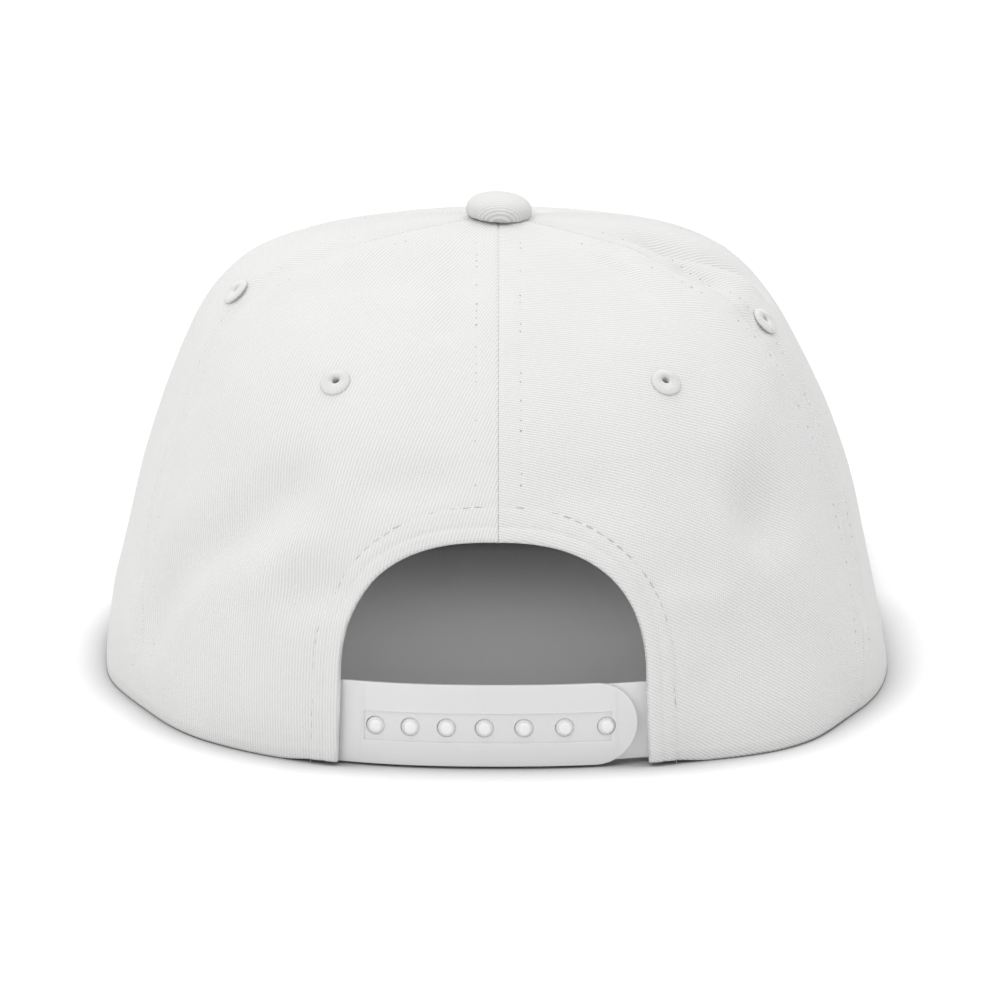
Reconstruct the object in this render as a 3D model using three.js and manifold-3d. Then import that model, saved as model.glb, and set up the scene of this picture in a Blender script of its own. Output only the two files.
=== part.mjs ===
// Flat bill cap: five crown panels, a flat bill, a covered button, a sweatband,
// two snap strap tabs and four stitched eyelets. Millimetres, +Z up, bill towards +Y.
// The origin is the centre of the head opening, on the plane that the rim rests on.
import * as THREE from 'three';
import { mergeVertices } from 'three/addons/utils/BufferGeometryUtils.js';
import Module from 'manifold-3d';

const wasm = await Module();
wasm.setup();

// Crown, as rings from the rim up to the top. z is the ring's height at the front, side and back.
// front, side and back are its reach from the middle. square is 2 for an ellipse, more for a squarer ring.
// seamLeft, seamRight and seamFront are the panel seams' azimuths in degrees from the back.
const ringColumns = [
  'zFront', 'zSide', 'zBack', 'front', 'side', 'back', 'square', 'seamLeft', 'seamRight', 'seamFront',
];
const ringRows = [
  [0, 0, 0, 94, 86.5, 95, 2.35, 57, 57, 121],
  [14, 14, 13, 94, 84.4, 94.5, 2.35, 60, 60.5, 121],
  [28, 28, 26, 93.5, 81.2, 92.5, 2.35, 62.5, 63, 121],
  [42, 42, 39, 92, 77.8, 88.5, 2.35, 64.3, 64.5, 121],
  [56, 55, 51, 89, 73.4, 82, 2.35, 66, 65, 121.5],
  [68, 66, 62, 83.5, 68.7, 74, 2.35, 67.3, 64.5, 122],
  [77, 75, 71.5, 75, 64.3, 64.5, 2.3, 68.3, 63.3, 122.5],
  [83.5, 82, 79.5, 63.5, 59.3, 53, 2.25, 68.8, 62.2, 123],
  [88.6, 87.3, 86, 49.5, 53.2, 40, 2.2, 68.8, 61.5, 123.5],
  [92.8, 91.7, 91, 34, 43.4, 26.5, 2.1, 68.3, 61, 124],
  [96.1, 95.2, 95, 17.5, 29, 13.3, 2, 67.3, 61, 124],
  [98, 98, 98, 0, 0, 0, 2, 66, 61, 124],
];
const topRing = ringRows.length - 1;
const tipRing = 10.8; // the panels end here, round the button's stem

// Soft hollows pressed into the panels: azimuth in degrees, ring, radius and depth.
// Below 0 a depth is a swelling: the crown leans out to the left, and its rim is fuller at the back right.
const dents = [
  { azimuth: -41, ring: 3.7, radius: 30, depth: 1.3 },
  { azimuth: -26, ring: 3.1, radius: 17, depth: 0.7 },
  { azimuth: 39, ring: 4.2, radius: 28, depth: 1.3 },
  { azimuth: 25.5, ring: 2.6, radius: 15, depth: 0.7 },
  { azimuth: 72, ring: 8.6, radius: 18, depth: 0.7 },
  { azimuth: -100, ring: 7, radius: 35, depth: -0.8 },
  { azimuth: -98, ring: 4.8, radius: 45, depth: -1.4 },
  { azimuth: -92, ring: 1, radius: 45, depth: -1 },
  { azimuth: 100, ring: 7, radius: 35, depth: 1.2 },
  { azimuth: 98, ring: 4.8, radius: 45, depth: 1.1 },
  { azimuth: 90, ring: 1, radius: 40, depth: 1 },
  { azimuth: -56, ring: 0, radius: 30, depth: 1.6 },
  { azimuth: 38, ring: 0, radius: 28, depth: -3 },
];

const cloth = 1.6; // crown cloth with its backing
const gap = 0.3; // between pieces that touch
const cutMargin = 2; // how far a cutting bar reaches past a face

// Arched opening at the back
const archCentre = -1;
const archFootHalf = 32.4;
const archHalf = 31.85;
const archSpring = 17.2; // height where the arch starts to bend inwards
const archTop = 46.45;
const archSquare = 2.49;
const archLegShare = 0.3; // share of each edge's steps on its straight leg

// Bill
const billLength = 70;
const billHalfWidth = 85.6;
const billThickness = 3;
const billEdge = 0.8; // rounding of its edges
const billEndAzimuth = 107; // where its ends meet the crown
const billEndStep = 1.2; // width of its blunt ends
const billWidestAt = 85; // y where its sides turn into the corners
const billCorner = { x: 45, y: 157 }; // where its corners turn into the front edge
const billShoulder = { y: 122, pullX: 74, pullY: 149 }; // how its corners bulge between those two
const billEase = 18; // length of the straighter stretches next to them

// Covered button on the top
const buttonRadius = 7.15;
const buttonHeight = 5.4;
const buttonPlace = { y: -1, z: 97.5, tilt: 3.5 };
const stemRadius = 1.3;
const flangeRadius = 4.6;
const flangeThickness = 0.8;
const stemDrop = 2.5; // from the button's rim down to the flange

// Snap strap
const strapBottom = 0.65;
const strapTop = 17.95;
const strapThickness = 1.2;
const strapDepth = cloth + 0.4; // how far its outer face lies inside the crown's outer face
const sewnLength = 15; // length of tab held behind a panel
const holeTabTip = 29.2; // x of its round tip
const tipAngles = [20, 40, 58, 73, 84]; // columns of its rounding, in degrees
const holeCount = 7;
const firstHole = -25.9; // x of the leftmost hole
const holePitch = 7.35; // from it to the next one
const pitchGrowth = 0.3; // each further pitch is wider by this much, as the bent strap shows them
const holeHeight = 8.75; // of the holes and of the channel, a little below the strap's middle
const holeRadius = 2;
const pegRadius = 1.3;
const pegProud = 0.25; // how far a peg stands out of the hole tab
const channel = { left: -28.3, right: 23.8, height: 6.4, depth: 0.3 };
const pegTabInset = 0.45; // the peg tab is narrower by this much at each edge
const pegTabEnd = -30; // its hidden end, under the hole tab
const pegTabStep = { from: holeTabTip + 0.6, to: holeTabTip + 6.5 }; // where it steps in under the hole tab
const pegRoot = 0.5; // how far a peg is sunk into its tab

// Sweatband
const bandHeight = 30;
const bandThickness = 1.2;
const bandStart = 22.5; // azimuth of its ends, behind the arch's hems
const bandStep = { from: 31, to: 37 }; // azimuths where it steps out past the sewn-in tab ends

// Stitched eyelets
const eyelets = [
  { name: 'eyelet_back_left', panel: 'back_panel_left', azimuth: -31.1, ring: 6.09 },
  { name: 'eyelet_back_right', panel: 'back_panel_right', azimuth: 32, ring: 6.08 },
  { name: 'eyelet_side_left', panel: 'side_panel_left', azimuth: -75.9, ring: 7.22 },
  { name: 'eyelet_side_right', panel: 'side_panel_right', azimuth: 68, ring: 6.64 },
];
const eyeletRadius = 3.2;
const eyeletBore = 0.85;
const eyeletCollar = 1.5;
const eyeletHole = 1.85; // the hole in the panel

// Grid sizes
const frontColumns = 18;
const sideColumns = 9;
const backColumns = 14;
const archRows = 20;
const panelRows = 22;

// Materials
const panelCloth = new THREE.MeshStandardMaterial({ color: 0xf1f1f0, roughness: 0.9, metalness: 0 });
const billCloth = new THREE.MeshStandardMaterial({ color: 0xefefee, roughness: 0.9, metalness: 0 });
const buttonCloth = new THREE.MeshStandardMaterial({ color: 0xeaeae9, roughness: 0.85, metalness: 0 });
const bandCloth = new THREE.MeshStandardMaterial({ color: 0xe6e6e4, roughness: 0.95, metalness: 0 });
const strapPlastic = new THREE.MeshStandardMaterial({ color: 0xe4e4e4, roughness: 0.45, metalness: 0 });
const eyeletThread = new THREE.MeshStandardMaterial({ color: 0xededec, roughness: 0.8, metalness: 0 });

const lerp = THREE.MathUtils.lerp;
const radians = THREE.MathUtils.degToRad;
const degrees = THREE.MathUtils.radToDeg;

// One value of a smooth curve through four evenly spaced values, between the middle two
function smoothBetween(before, start, end, after, u) {
  const slope = (end - before) * u;
  const bend = (2 * before - 5 * start + 4 * end - after) * u * u;
  const turn = (3 * start - before - 3 * end + after) * u * u * u;
  return start + (slope + bend + turn) / 2;
}

// The named columns of the ring table at any height between its rows
function ringAt(t) {
  const row = Math.min(Math.floor(t), topRing - 1);
  const u = t - row;
  const ring = {};
  ringColumns.forEach((name, column) => {
    const start = ringRows[row][column];
    const end = ringRows[row + 1][column];
    const before = row > 0 ? ringRows[row - 1][column] : 2 * start - end;
    const after = row + 2 <= topRing ? ringRows[row + 2][column] : 2 * end - start;
    ring[name] = smoothBetween(before, start, end, after, u);
  });
  return ring;
}

// A point of the smooth crown. Azimuth 0 is the back and 90 the side towards +X.
function shellPoint(azimuth, t) {
  const ring = ringAt(t);
  const across = Math.sin(radians(azimuth));
  const back = Math.cos(radians(azimuth));
  const reach = back > 0 ? ring.back : ring.front;
  const zEnd = back > 0 ? ring.zBack : ring.zFront;
  const z = lerp(ring.zSide, zEnd, back * back);
  if (ring.side < 1e-6) {
    return new THREE.Vector3(0, 0, z);
  }
  const power = (Math.abs(across) / ring.side) ** ring.square + (Math.abs(back) / reach) ** ring.square;
  const radius = power ** (-1 / ring.square);
  return new THREE.Vector3(radius * across, -radius * back, z);
}

function shellNormal(azimuth, t) {
  const step = 0.02;
  const low = Math.max(t - step, 0);
  const high = Math.min(t + step, topRing - step);
  const level = Math.min(t, high);
  const along = shellPoint(azimuth + 0.2, level).sub(shellPoint(azimuth - 0.2, level));
  const up = shellPoint(azimuth, high).sub(shellPoint(azimuth, low));
  return along.cross(up).normalize();
}

function dentDepth(point) {
  let depth = 0;
  for (const dent of dents) {
    const distance = point.distanceTo(shellPoint(dent.azimuth, dent.ring)) / dent.radius;
    if (distance < 1) {
      depth += dent.depth * (1 + Math.cos(Math.PI * distance)) / 2;
    }
  }
  return depth;
}

// A point at a depth inside the crown's outer face, dents included
function crownPoint(azimuth, t, depth) {
  const point = shellPoint(azimuth, t);
  const total = depth + dentDepth(point);
  const inside = point.addScaledVector(shellNormal(azimuth, t), -total);
  if (t === 0) {
    inside.z = 0;
  }
  return inside;
}

// The azimuth and ring of the point of the back half with this x and z
function surfaceAt(x, z) {
  let azimuth = 0;
  let t = 0;
  for (let pass = 0; pass < 12; pass++) {
    let low = 0;
    let high = topRing;
    for (let halving = 0; halving < 30; halving++) {
      t = (low + high) / 2;
      if (shellPoint(azimuth, t).z < z) {
        low = t;
      } else {
        high = t;
      }
    }
    const point = shellPoint(azimuth, t);
    azimuth = degrees(Math.asin(x / Math.hypot(point.x, point.y)));
  }
  return { azimuth, t: z === 0 ? 0 : t };
}

// Half the gap between two panels, as an azimuth
function seamClearance(azimuth, t) {
  const point = shellPoint(azimuth, t);
  return degrees(gap / 2 / Math.hypot(point.x, point.y));
}

// A closed wall from a grid of corners, each with an outer and an inner point
function wallGeometry(columns, rows, corner, flipped = false) {
  const positions = [];
  for (let i = 0; i <= columns; i++) {
    for (let j = 0; j <= rows; j++) {
      const { outer, inner } = corner(i, j);
      positions.push(...outer.toArray(), ...inner.toArray());
    }
  }
  const outerAt = (i, j) => 2 * (i * (rows + 1) + j);
  const innerAt = (i, j) => outerAt(i, j) + 1;
  const faces = [];
  const quad = (a, b, c, d) => {
    if (flipped) {
      faces.push(a, c, b, a, d, c);
    } else {
      faces.push(a, b, c, a, c, d);
    }
  };
  for (let i = 0; i < columns; i++) {
    for (let j = 0; j < rows; j++) {
      quad(outerAt(i, j), outerAt(i + 1, j), outerAt(i + 1, j + 1), outerAt(i, j + 1));
      quad(innerAt(i, j), innerAt(i, j + 1), innerAt(i + 1, j + 1), innerAt(i + 1, j));
    }
    quad(innerAt(i, 0), innerAt(i + 1, 0), outerAt(i + 1, 0), outerAt(i, 0));
    quad(outerAt(i, rows), outerAt(i + 1, rows), innerAt(i + 1, rows), innerAt(i, rows));
  }
  for (let j = 0; j < rows; j++) {
    quad(outerAt(0, j), outerAt(0, j + 1), innerAt(0, j + 1), innerAt(0, j));
    quad(innerAt(columns, j), innerAt(columns, j + 1), outerAt(columns, j + 1), outerAt(columns, j));
  }
  const geometry = new THREE.BufferGeometry();
  geometry.setAttribute('position', new THREE.Float32BufferAttribute(positions, 3));
  geometry.setIndex(faces);
  return geometry;
}

// Joins and cuts
function bare(geometry) {
  const copy = geometry.clone();
  copy.deleteAttribute('normal');
  copy.deleteAttribute('uv');
  return mergeVertices(copy, 1e-4);
}

function toSolid(geometry) {
  const merged = bare(geometry);
  return new wasm.Manifold(new wasm.Mesh({
    numProp: 3,
    vertProperties: new Float32Array(merged.attributes.position.array),
    triVerts: new Uint32Array(merged.index.array),
  }));
}

function toGeometry(solid) {
  const mesh = solid.getMesh();
  const geometry = new THREE.BufferGeometry();
  geometry.setAttribute('position', new THREE.BufferAttribute(new Float32Array(mesh.vertProperties), 3));
  geometry.setIndex(new THREE.BufferAttribute(new Uint32Array(mesh.triVerts), 1));
  return geometry;
}

function cutAll(geometry, cutters) {
  return toGeometry(cutters.reduce((solid, cutter) => solid.subtract(toSolid(cutter)), toSolid(geometry)));
}

function joinAll(geometry, others) {
  return toGeometry(others.reduce((solid, other) => solid.add(toSolid(other)), toSolid(geometry)));
}

// A round bar across the crown's wall, from its outer face, along the surface's own normal
function wallBar(radius, sides, azimuth, t, outwards, inwards) {
  const bar = new THREE.CylinderGeometry(radius, radius, outwards + inwards, sides);
  bar.translate(0, (outwards - inwards) / 2, 0);
  const normal = shellNormal(azimuth, t);
  bar.applyQuaternion(new THREE.Quaternion().setFromUnitVectors(new THREE.Vector3(0, 1, 0), normal));
  const place = crownPoint(azimuth, t, 0);
  bar.translate(place.x, place.y, place.z);
  return bar;
}

// A panel's grid corner becomes the wall's outer and inner points
function panelCorner(azimuth, t) {
  return { outer: crownPoint(azimuth, t, 0), inner: crownPoint(azimuth, t, cloth) };
}

// Front and side panels lie between two seams, from the rim to the top
function gorePanel(columns, fromSeam, toSeam) {
  return wallGeometry(columns, panelRows, (i, j) => {
    const t = tipRing * j / panelRows;
    const start = fromSeam(t) + seamClearance(fromSeam(t), t);
    const end = toSeam(t) - seamClearance(toSeam(t), t);
    return panelCorner(lerp(start, end, i / columns), t);
  });
}

function signedPower(value, power) {
  return Math.sign(value) * Math.abs(value) ** power;
}

// The arch's edge from its foot on the rim to the centre seam, f from 0 to 1. side is 1 or -1.
function archPoint(side, f) {
  if (f < archLegShare) {
    const climb = f / archLegShare;
    return surfaceAt(archCentre + side * lerp(archFootHalf, archHalf, climb), archSpring * climb);
  }
  const crossing = Math.acos(signedPower(-side * archCentre / archHalf, archSquare / 2));
  const angle = crossing * (f - archLegShare) / (1 - archLegShare);
  const x = archCentre + side * archHalf * signedPower(Math.cos(angle), 2 / archSquare);
  const rise = (archTop - archSpring) * Math.sin(angle) ** (2 / archSquare);
  return surfaceAt(side * Math.max(side * x, gap / 2), archSpring + rise);
}

// Places on the crown as seen flattened from the top, where the patch is blended
function flatten(place) {
  const reach = topRing - place.t;
  const angle = radians(place.azimuth);
  return new THREE.Vector2(reach * Math.sin(angle), -reach * Math.cos(angle));
}

function unflatten(spot) {
  const azimuth = degrees(Math.atan2(spot.x, -spot.y));
  const t = topRing - spot.length();
  return { azimuth, t: t < 1e-6 ? 0 : t };
}

// Back panel: a patch blended between the rim, the arch, the centre seam and the side seam
function backPanel(side) {
  const seamName = side > 0 ? 'seamRight' : 'seamLeft';
  const sideSeam = (t) => ringAt(t)[seamName] - seamClearance(ringAt(t)[seamName], t);
  const archPlace = (f) => {
    const { azimuth, t } = archPoint(side, f);
    return { azimuth: side * azimuth, t };
  };
  const foot = archPlace(0);
  const crest = archPlace(1);
  const rim = (f) => flatten({ azimuth: lerp(foot.azimuth, sideSeam(0), f), t: 0 });
  const arch = (f) => flatten(archPlace(f));
  const seamUp = (f) => flatten({ azimuth: sideSeam(tipRing * f), t: tipRing * f });
  const centre = (f) => {
    if (f > 1 - 0.5 / backColumns) {
      return seamUp(1);
    }
    const t = lerp(crest.t, tipRing, f * backColumns / (backColumns - 1));
    return flatten({ azimuth: seamClearance(0, t), t });
  };
  const corners = { foot: rim(0), hip: rim(1), crest: centre(0), tip: centre(1) };
  return wallGeometry(backColumns, archRows, (i, j) => {
    const u = i / backColumns;
    const v = j / archRows;
    const spot = rim(u).multiplyScalar(1 - v).addScaledVector(centre(u), v);
    spot.addScaledVector(arch(v), 1 - u).addScaledVector(seamUp(v), u);
    spot.addScaledVector(corners.foot, -(1 - u) * (1 - v)).addScaledVector(corners.hip, -u * (1 - v));
    spot.addScaledVector(corners.crest, -(1 - u) * v).addScaledVector(corners.tip, -u * v);
    const place = unflatten(spot);
    return panelCorner(side * place.azimuth, place.t);
  }, side < 0);
}

// Bill: a flat plate round the front of the rim
function bill() {
  const outline = new THREE.Shape();
  const steps = 32;
  for (let step = 0; step <= steps; step++) {
    const azimuth = lerp(360 - billEndAzimuth, billEndAzimuth, step / steps);
    const point = crownPoint(azimuth, 0, -gap);
    if (step === 0) {
      outline.moveTo(point.x, point.y);
    } else {
      outline.lineTo(point.x, point.y);
    }
  }
  const right = crownPoint(billEndAzimuth, 0, -gap);
  const left = crownPoint(360 - billEndAzimuth, 0, -gap);
  const tip = ringAt(0).front + billLength;
  const crest = tip + (tip - billCorner.y) / 3;
  const rightHeel = { x: right.x + billEndStep, y: right.y + billEndStep };
  const leftHeel = { x: left.x - billEndStep, y: left.y + billEndStep };
  const half = billHalfWidth;
  const { y: shoulderY, pullX, pullY } = billShoulder;
  outline.lineTo(rightHeel.x, rightHeel.y);
  outline.bezierCurveTo(half, rightHeel.y + billEase, half, billWidestAt - billEase, half, billWidestAt);
  outline.bezierCurveTo(half, shoulderY, pullX, pullY, billCorner.x, billCorner.y);
  outline.bezierCurveTo(billEase, crest, -billEase, crest, -billCorner.x, billCorner.y);
  outline.bezierCurveTo(-pullX, pullY, -half, shoulderY, -half, billWidestAt);
  outline.bezierCurveTo(-half, billWidestAt - billEase, -half, leftHeel.y + billEase, leftHeel.x, leftHeel.y);
  const plate = new THREE.ExtrudeGeometry(outline, {
    depth: billThickness - 2 * billEdge,
    curveSegments: 10,
    bevelThickness: billEdge,
    bevelSize: billEdge,
    bevelOffset: -billEdge,
    bevelSegments: 1,
  });
  plate.translate(0, 0, billEdge);
  return plate;
}

function latheAlongZ(profile, sides) {
  const points = profile.map(([radius, height]) => new THREE.Vector2(radius, height));
  const turned = new THREE.LatheGeometry(points, sides);
  turned.rotateX(Math.PI / 2);
  return turned;
}

// Button: a domed cover over a cupped base, its stem and the flange inside the crown
function buttonGeometry() {
  const profile = [
    [0, -stemDrop - flangeThickness],
    [flangeRadius, -stemDrop - flangeThickness],
    [flangeRadius, -stemDrop],
    [stemRadius, -stemDrop],
    [stemRadius, 0.6],
    [buttonRadius - 1.2, 0.3],
    [buttonRadius - 0.6, 0],
    [buttonRadius - 0.2, 0.5],
  ];
  const widest = 1.6;
  const domeSteps = 5;
  for (let step = 0; step < domeSteps; step++) {
    const angle = Math.PI / 2 * step / domeSteps;
    const radius = buttonRadius * Math.cos(angle) ** 0.8;
    profile.push([radius, widest + (buttonHeight - widest) * Math.sin(angle)]);
  }
  profile.push([0, buttonHeight]);
  return latheAlongZ(profile, 20);
}

// Eyelet: a raised ring outside, a collar through the panel and a flat ring inside
function eyeletGeometry() {
  const lip = 0.42;
  const inside = -cloth - lip;
  return latheAlongZ([
    [eyeletBore, inside - 0.6],
    [eyeletRadius - 0.3, inside - 0.6],
    [eyeletRadius - 0.3, inside],
    [eyeletCollar, inside],
    [eyeletCollar, lip],
    [eyeletRadius, lip],
    [eyeletRadius, lip + 0.35],
    [eyeletRadius - 0.7, lip + 0.8],
    [eyeletBore + 0.6, lip + 0.75],
    [eyeletBore, lip + 0.3],
    [eyeletBore, inside - 0.6],
  ], 8);
}

// A band that follows the crown's back wall, from its columns' x and its edges' heights
function strapBand(columns, depthAt, thickness, rows = 2) {
  return wallGeometry(columns.length - 1, rows, (i, j) => {
    const { x, low, high } = columns[i];
    const place = surfaceAt(x, lerp(low, high, j / rows));
    const depth = depthAt(x);
    return {
      outer: crownPoint(place.azimuth, place.t, depth),
      inner: crownPoint(place.azimuth, place.t, depth + thickness),
    };
  });
}

function evenColumns(from, to, count, low, high) {
  return Array.from({ length: count + 1 }, (_, i) => ({ x: lerp(from, to, i / count), low, high }));
}

const holePlaces = Array.from({ length: holeCount }, (_, index) => {
  const x = firstHole + holePitch * index + pitchGrowth * index * (index - 1) / 2;
  return surfaceAt(x, holeHeight);
});

// Outer tab: from behind the left panel to a round tip, with a shallow channel and a row of holes
function holeTab() {
  const tipRadius = (strapTop - strapBottom) / 2;
  const middle = (strapTop + strapBottom) / 2;
  const roundStart = holeTabTip - tipRadius;
  const start = archCentre - archFootHalf - sewnLength;
  const columns = evenColumns(start, roundStart, 18, strapBottom, strapTop);
  for (const angle of tipAngles) {
    const half = tipRadius * Math.cos(radians(angle));
    const x = roundStart + tipRadius * Math.sin(radians(angle));
    columns.push({ x, low: middle - half, high: middle + half });
  }
  const band = strapBand(columns, () => strapDepth, strapThickness);
  const low = holeHeight - channel.height / 2;
  const high = holeHeight + channel.height / 2;
  const recess = strapBand(
    evenColumns(channel.left, channel.right, 12, low, high),
    () => strapDepth - cutMargin,
    cutMargin + channel.depth,
  );
  const boreEnd = strapDepth + strapThickness + cutMargin;
  const bores = holePlaces.map(({ azimuth, t }) => wallBar(holeRadius, 12, azimuth, t, 0, boreEnd));
  return cutAll(band, [recess, ...bores]);
}

// Inner tab: from behind the right panel, stepping in behind the outer tab, with its pegs
function pegTab() {
  const underDepth = strapDepth + strapThickness + gap;
  const { from, to } = pegTabStep;
  const depthAt = (x) => lerp(underDepth, strapDepth, THREE.MathUtils.smoothstep(x, from, to));
  const end = archCentre + archFootHalf + sewnLength;
  const columns = evenColumns(pegTabEnd, end, 26, strapBottom + pegTabInset, strapTop - pegTabInset);
  const band = strapBand(columns, depthAt, strapThickness);
  const pegs = holePlaces.map(({ azimuth, t }) => {
    return wallBar(pegRadius, 10, azimuth, t, pegProud - strapDepth, underDepth + pegRoot);
  });
  return joinAll(band, pegs);
}

// Sweatband: a strip inside the rim, from one side of the arch round the front to the other
function sweatband() {
  const columns = 48;
  const rows = 3;
  const outside = strapDepth + strapThickness + gap;
  return wallGeometry(columns, rows, (i, j) => {
    const azimuth = lerp(bandStart, 360 - bandStart, i / columns);
    const fromBack = Math.min(azimuth, 360 - azimuth);
    const stepped = THREE.MathUtils.smoothstep(fromBack, bandStep.from, bandStep.to);
    const depth = lerp(outside, strapDepth, stepped);
    const ringHeight = shellPoint(azimuth, 1).z;
    const t = lerp(strapBottom, bandHeight, j / rows) / ringHeight;
    return {
      outer: crownPoint(azimuth, t, depth),
      inner: crownPoint(azimuth, t, depth + bandThickness),
    };
  });
}

const seam = (name) => (t) => ringAt(t)[name];
const around = (name) => (t) => 360 - ringAt(t)[name];
const panelShapes = {
  front_panel: gorePanel(frontColumns, seam('seamFront'), around('seamFront')),
  side_panel_right: gorePanel(sideColumns, seam('seamRight'), seam('seamFront')),
  side_panel_left: gorePanel(sideColumns, around('seamFront'), around('seamLeft')),
  back_panel_right: backPanel(1),
  back_panel_left: backPanel(-1),
};

const cap = new THREE.Group();

function addPiece(name, geometry, material) {
  const piece = new THREE.Mesh(bare(geometry), material);
  piece.name = name;
  cap.add(piece);
  return piece;
}

for (const [name, shape] of Object.entries(panelShapes)) {
  const holes = eyelets.filter(({ panel }) => panel === name);
  const boreEnd = cloth + cutMargin;
  const bores = holes.map(({ azimuth, ring }) => wallBar(eyeletHole, 12, azimuth, ring, cutMargin, boreEnd));
  addPiece(name, bores.length > 0 ? cutAll(shape, bores) : shape, panelCloth);
}

addPiece('bill', bill(), billCloth);
addPiece('sweatband', sweatband(), bandCloth);
addPiece('hole_tab', holeTab(), strapPlastic);
addPiece('peg_tab', pegTab(), strapPlastic);

const topButton = addPiece('top_button', buttonGeometry(), buttonCloth);
topButton.position.set(0, buttonPlace.y, buttonPlace.z);
topButton.rotation.x = radians(buttonPlace.tilt);

for (const { name, azimuth, ring } of eyelets) {
  const piece = addPiece(name, eyeletGeometry(), eyeletThread);
  piece.position.copy(crownPoint(azimuth, ring, 0));
  piece.quaternion.setFromUnitVectors(new THREE.Vector3(0, 0, 1), shellNormal(azimuth, ring));
}

export default cap;
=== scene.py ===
import math
import bmesh
import bpy
import numpy as np
from mathutils import Matrix, Vector


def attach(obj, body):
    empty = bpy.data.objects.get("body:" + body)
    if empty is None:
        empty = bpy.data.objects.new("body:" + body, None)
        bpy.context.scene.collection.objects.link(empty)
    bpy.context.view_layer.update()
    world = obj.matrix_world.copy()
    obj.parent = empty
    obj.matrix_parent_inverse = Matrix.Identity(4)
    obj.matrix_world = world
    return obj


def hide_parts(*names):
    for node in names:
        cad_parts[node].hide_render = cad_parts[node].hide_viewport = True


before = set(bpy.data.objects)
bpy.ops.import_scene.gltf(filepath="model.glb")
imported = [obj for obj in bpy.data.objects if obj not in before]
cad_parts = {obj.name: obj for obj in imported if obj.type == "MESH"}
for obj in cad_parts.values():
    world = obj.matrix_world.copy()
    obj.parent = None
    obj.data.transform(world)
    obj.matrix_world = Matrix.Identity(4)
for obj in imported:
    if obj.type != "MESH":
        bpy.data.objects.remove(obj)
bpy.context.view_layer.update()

# Tables and shapes are in millimetres, and meshes are written in metres
mm = 0.001


def linkObject(name, data):
    thing = bpy.data.objects.new(name, data)
    bpy.context.scene.collection.objects.link(thing)
    return thing


# Camera and light

view = {
    "place": (0.00033, -1.1535, 0.3308),
    "lookDown": 14.46,
    "lens": 193.8,
    "skyStrength": 0.8,
    "keyPlace": (-1.1, -1.3, 1.7),
    "keySize": 1.1,
    "keyPower": 9.0,
    "topPlace": (0, 0.25, 2.0),
    "topSize": 2.4,
    "topPower": 20.0,
    "innerPlace": (0, 0.002, 0.084),
    "innerCone": 112,
    "innerPower": 0.052,
    "innerSize": 0.008,
    "floorTone": 0.94,
    "paintedShadowTone": 0.36,
    "contactReach": 0.012,
}

camera = linkObject("camera", bpy.data.cameras.new("camera"))
camera.location = view["place"]
camera.rotation_euler = (math.radians(90 - view["lookDown"]), 0, 0)
camera.data.lens = view["lens"]
camera.data.sensor_width = 36
camera.data.clip_start = 0.01
camera.data.clip_end = 50
bpy.context.scene.camera = camera
bpy.context.scene.view_settings.view_transform = "Standard"

world = bpy.data.worlds.new("studio")
bpy.context.scene.world = world
world.use_nodes = True
sky = world.node_tree.nodes["Background"]
sky.inputs["Color"].default_value = (1, 1, 1, 1)
sky.inputs["Strength"].default_value = view["skyStrength"]


def softLight(name):
    # A round lamp that faces the middle of the rim
    light = linkObject(name + "Light", bpy.data.lights.new(name + "Light", "AREA"))
    light.data.shape = "DISK"
    light.data.size = view[name + "Size"]
    light.data.energy = view[name + "Power"]
    light.location = view[name + "Place"]
    towards = Vector((0, 0, 0)) - Vector(view[name + "Place"])
    light.rotation_euler = towards.to_track_quat("-Z", "Y").to_euler()


softLight("key")
softLight("top")
# The light that comes through the cloth into the crown
innerLight = linkObject("innerLight", bpy.data.lights.new("innerLight", "SPOT"))
innerLight.data.spot_size = math.radians(view["innerCone"])
innerLight.data.spot_blend = 1
innerLight.data.shadow_soft_size = view["innerSize"]
innerLight.data.energy = view["innerPower"]
innerLight.location = view["innerPlace"]
innerLight.visible_camera = False
print("camera and light ready")


# Materials

def addNode(tree, kind, **values):
    node = tree.nodes.new(kind)
    for name, value in values.items():
        node.inputs[name].default_value = value
    return node


def mathNode(tree, operation, first, second):
    node = tree.nodes.new("ShaderNodeMath")
    node.operation = operation
    for socket, value in zip(node.inputs, (first, second)):
        if isinstance(value, (int, float)):
            socket.default_value = value
        else:
            tree.links.new(value, socket)
    return node.outputs[0]


def newMaterial(name, roughness, sheen=0.0, specular=0.3):
    material = bpy.data.materials.new(name)
    material.use_nodes = True
    shader = material.node_tree.nodes["Principled BSDF"]
    shader.inputs["Roughness"].default_value = roughness
    shader.inputs["Sheen Weight"].default_value = sheen
    shader.inputs["Sheen Roughness"].default_value = 0.5
    shader.inputs["Specular IOR Level"].default_value = specular
    return material, material.node_tree, shader


def mixTones(tree, factor, dark, light):
    mix = tree.nodes.new("ShaderNodeMix")
    mix.data_type = "RGBA"
    mix.inputs["A"].default_value = (*dark, 1)
    mix.inputs["B"].default_value = (*light, 1)
    tree.links.new(factor, mix.inputs["Factor"])
    return mix.outputs["Result"]


def addBump(tree, shader, height, strength, distance):
    bump = addNode(tree, "ShaderNodeBump", Strength=strength, Distance=distance)
    tree.links.new(height, bump.inputs["Height"])
    tree.links.new(bump.outputs["Normal"], shader.inputs["Normal"])


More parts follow.
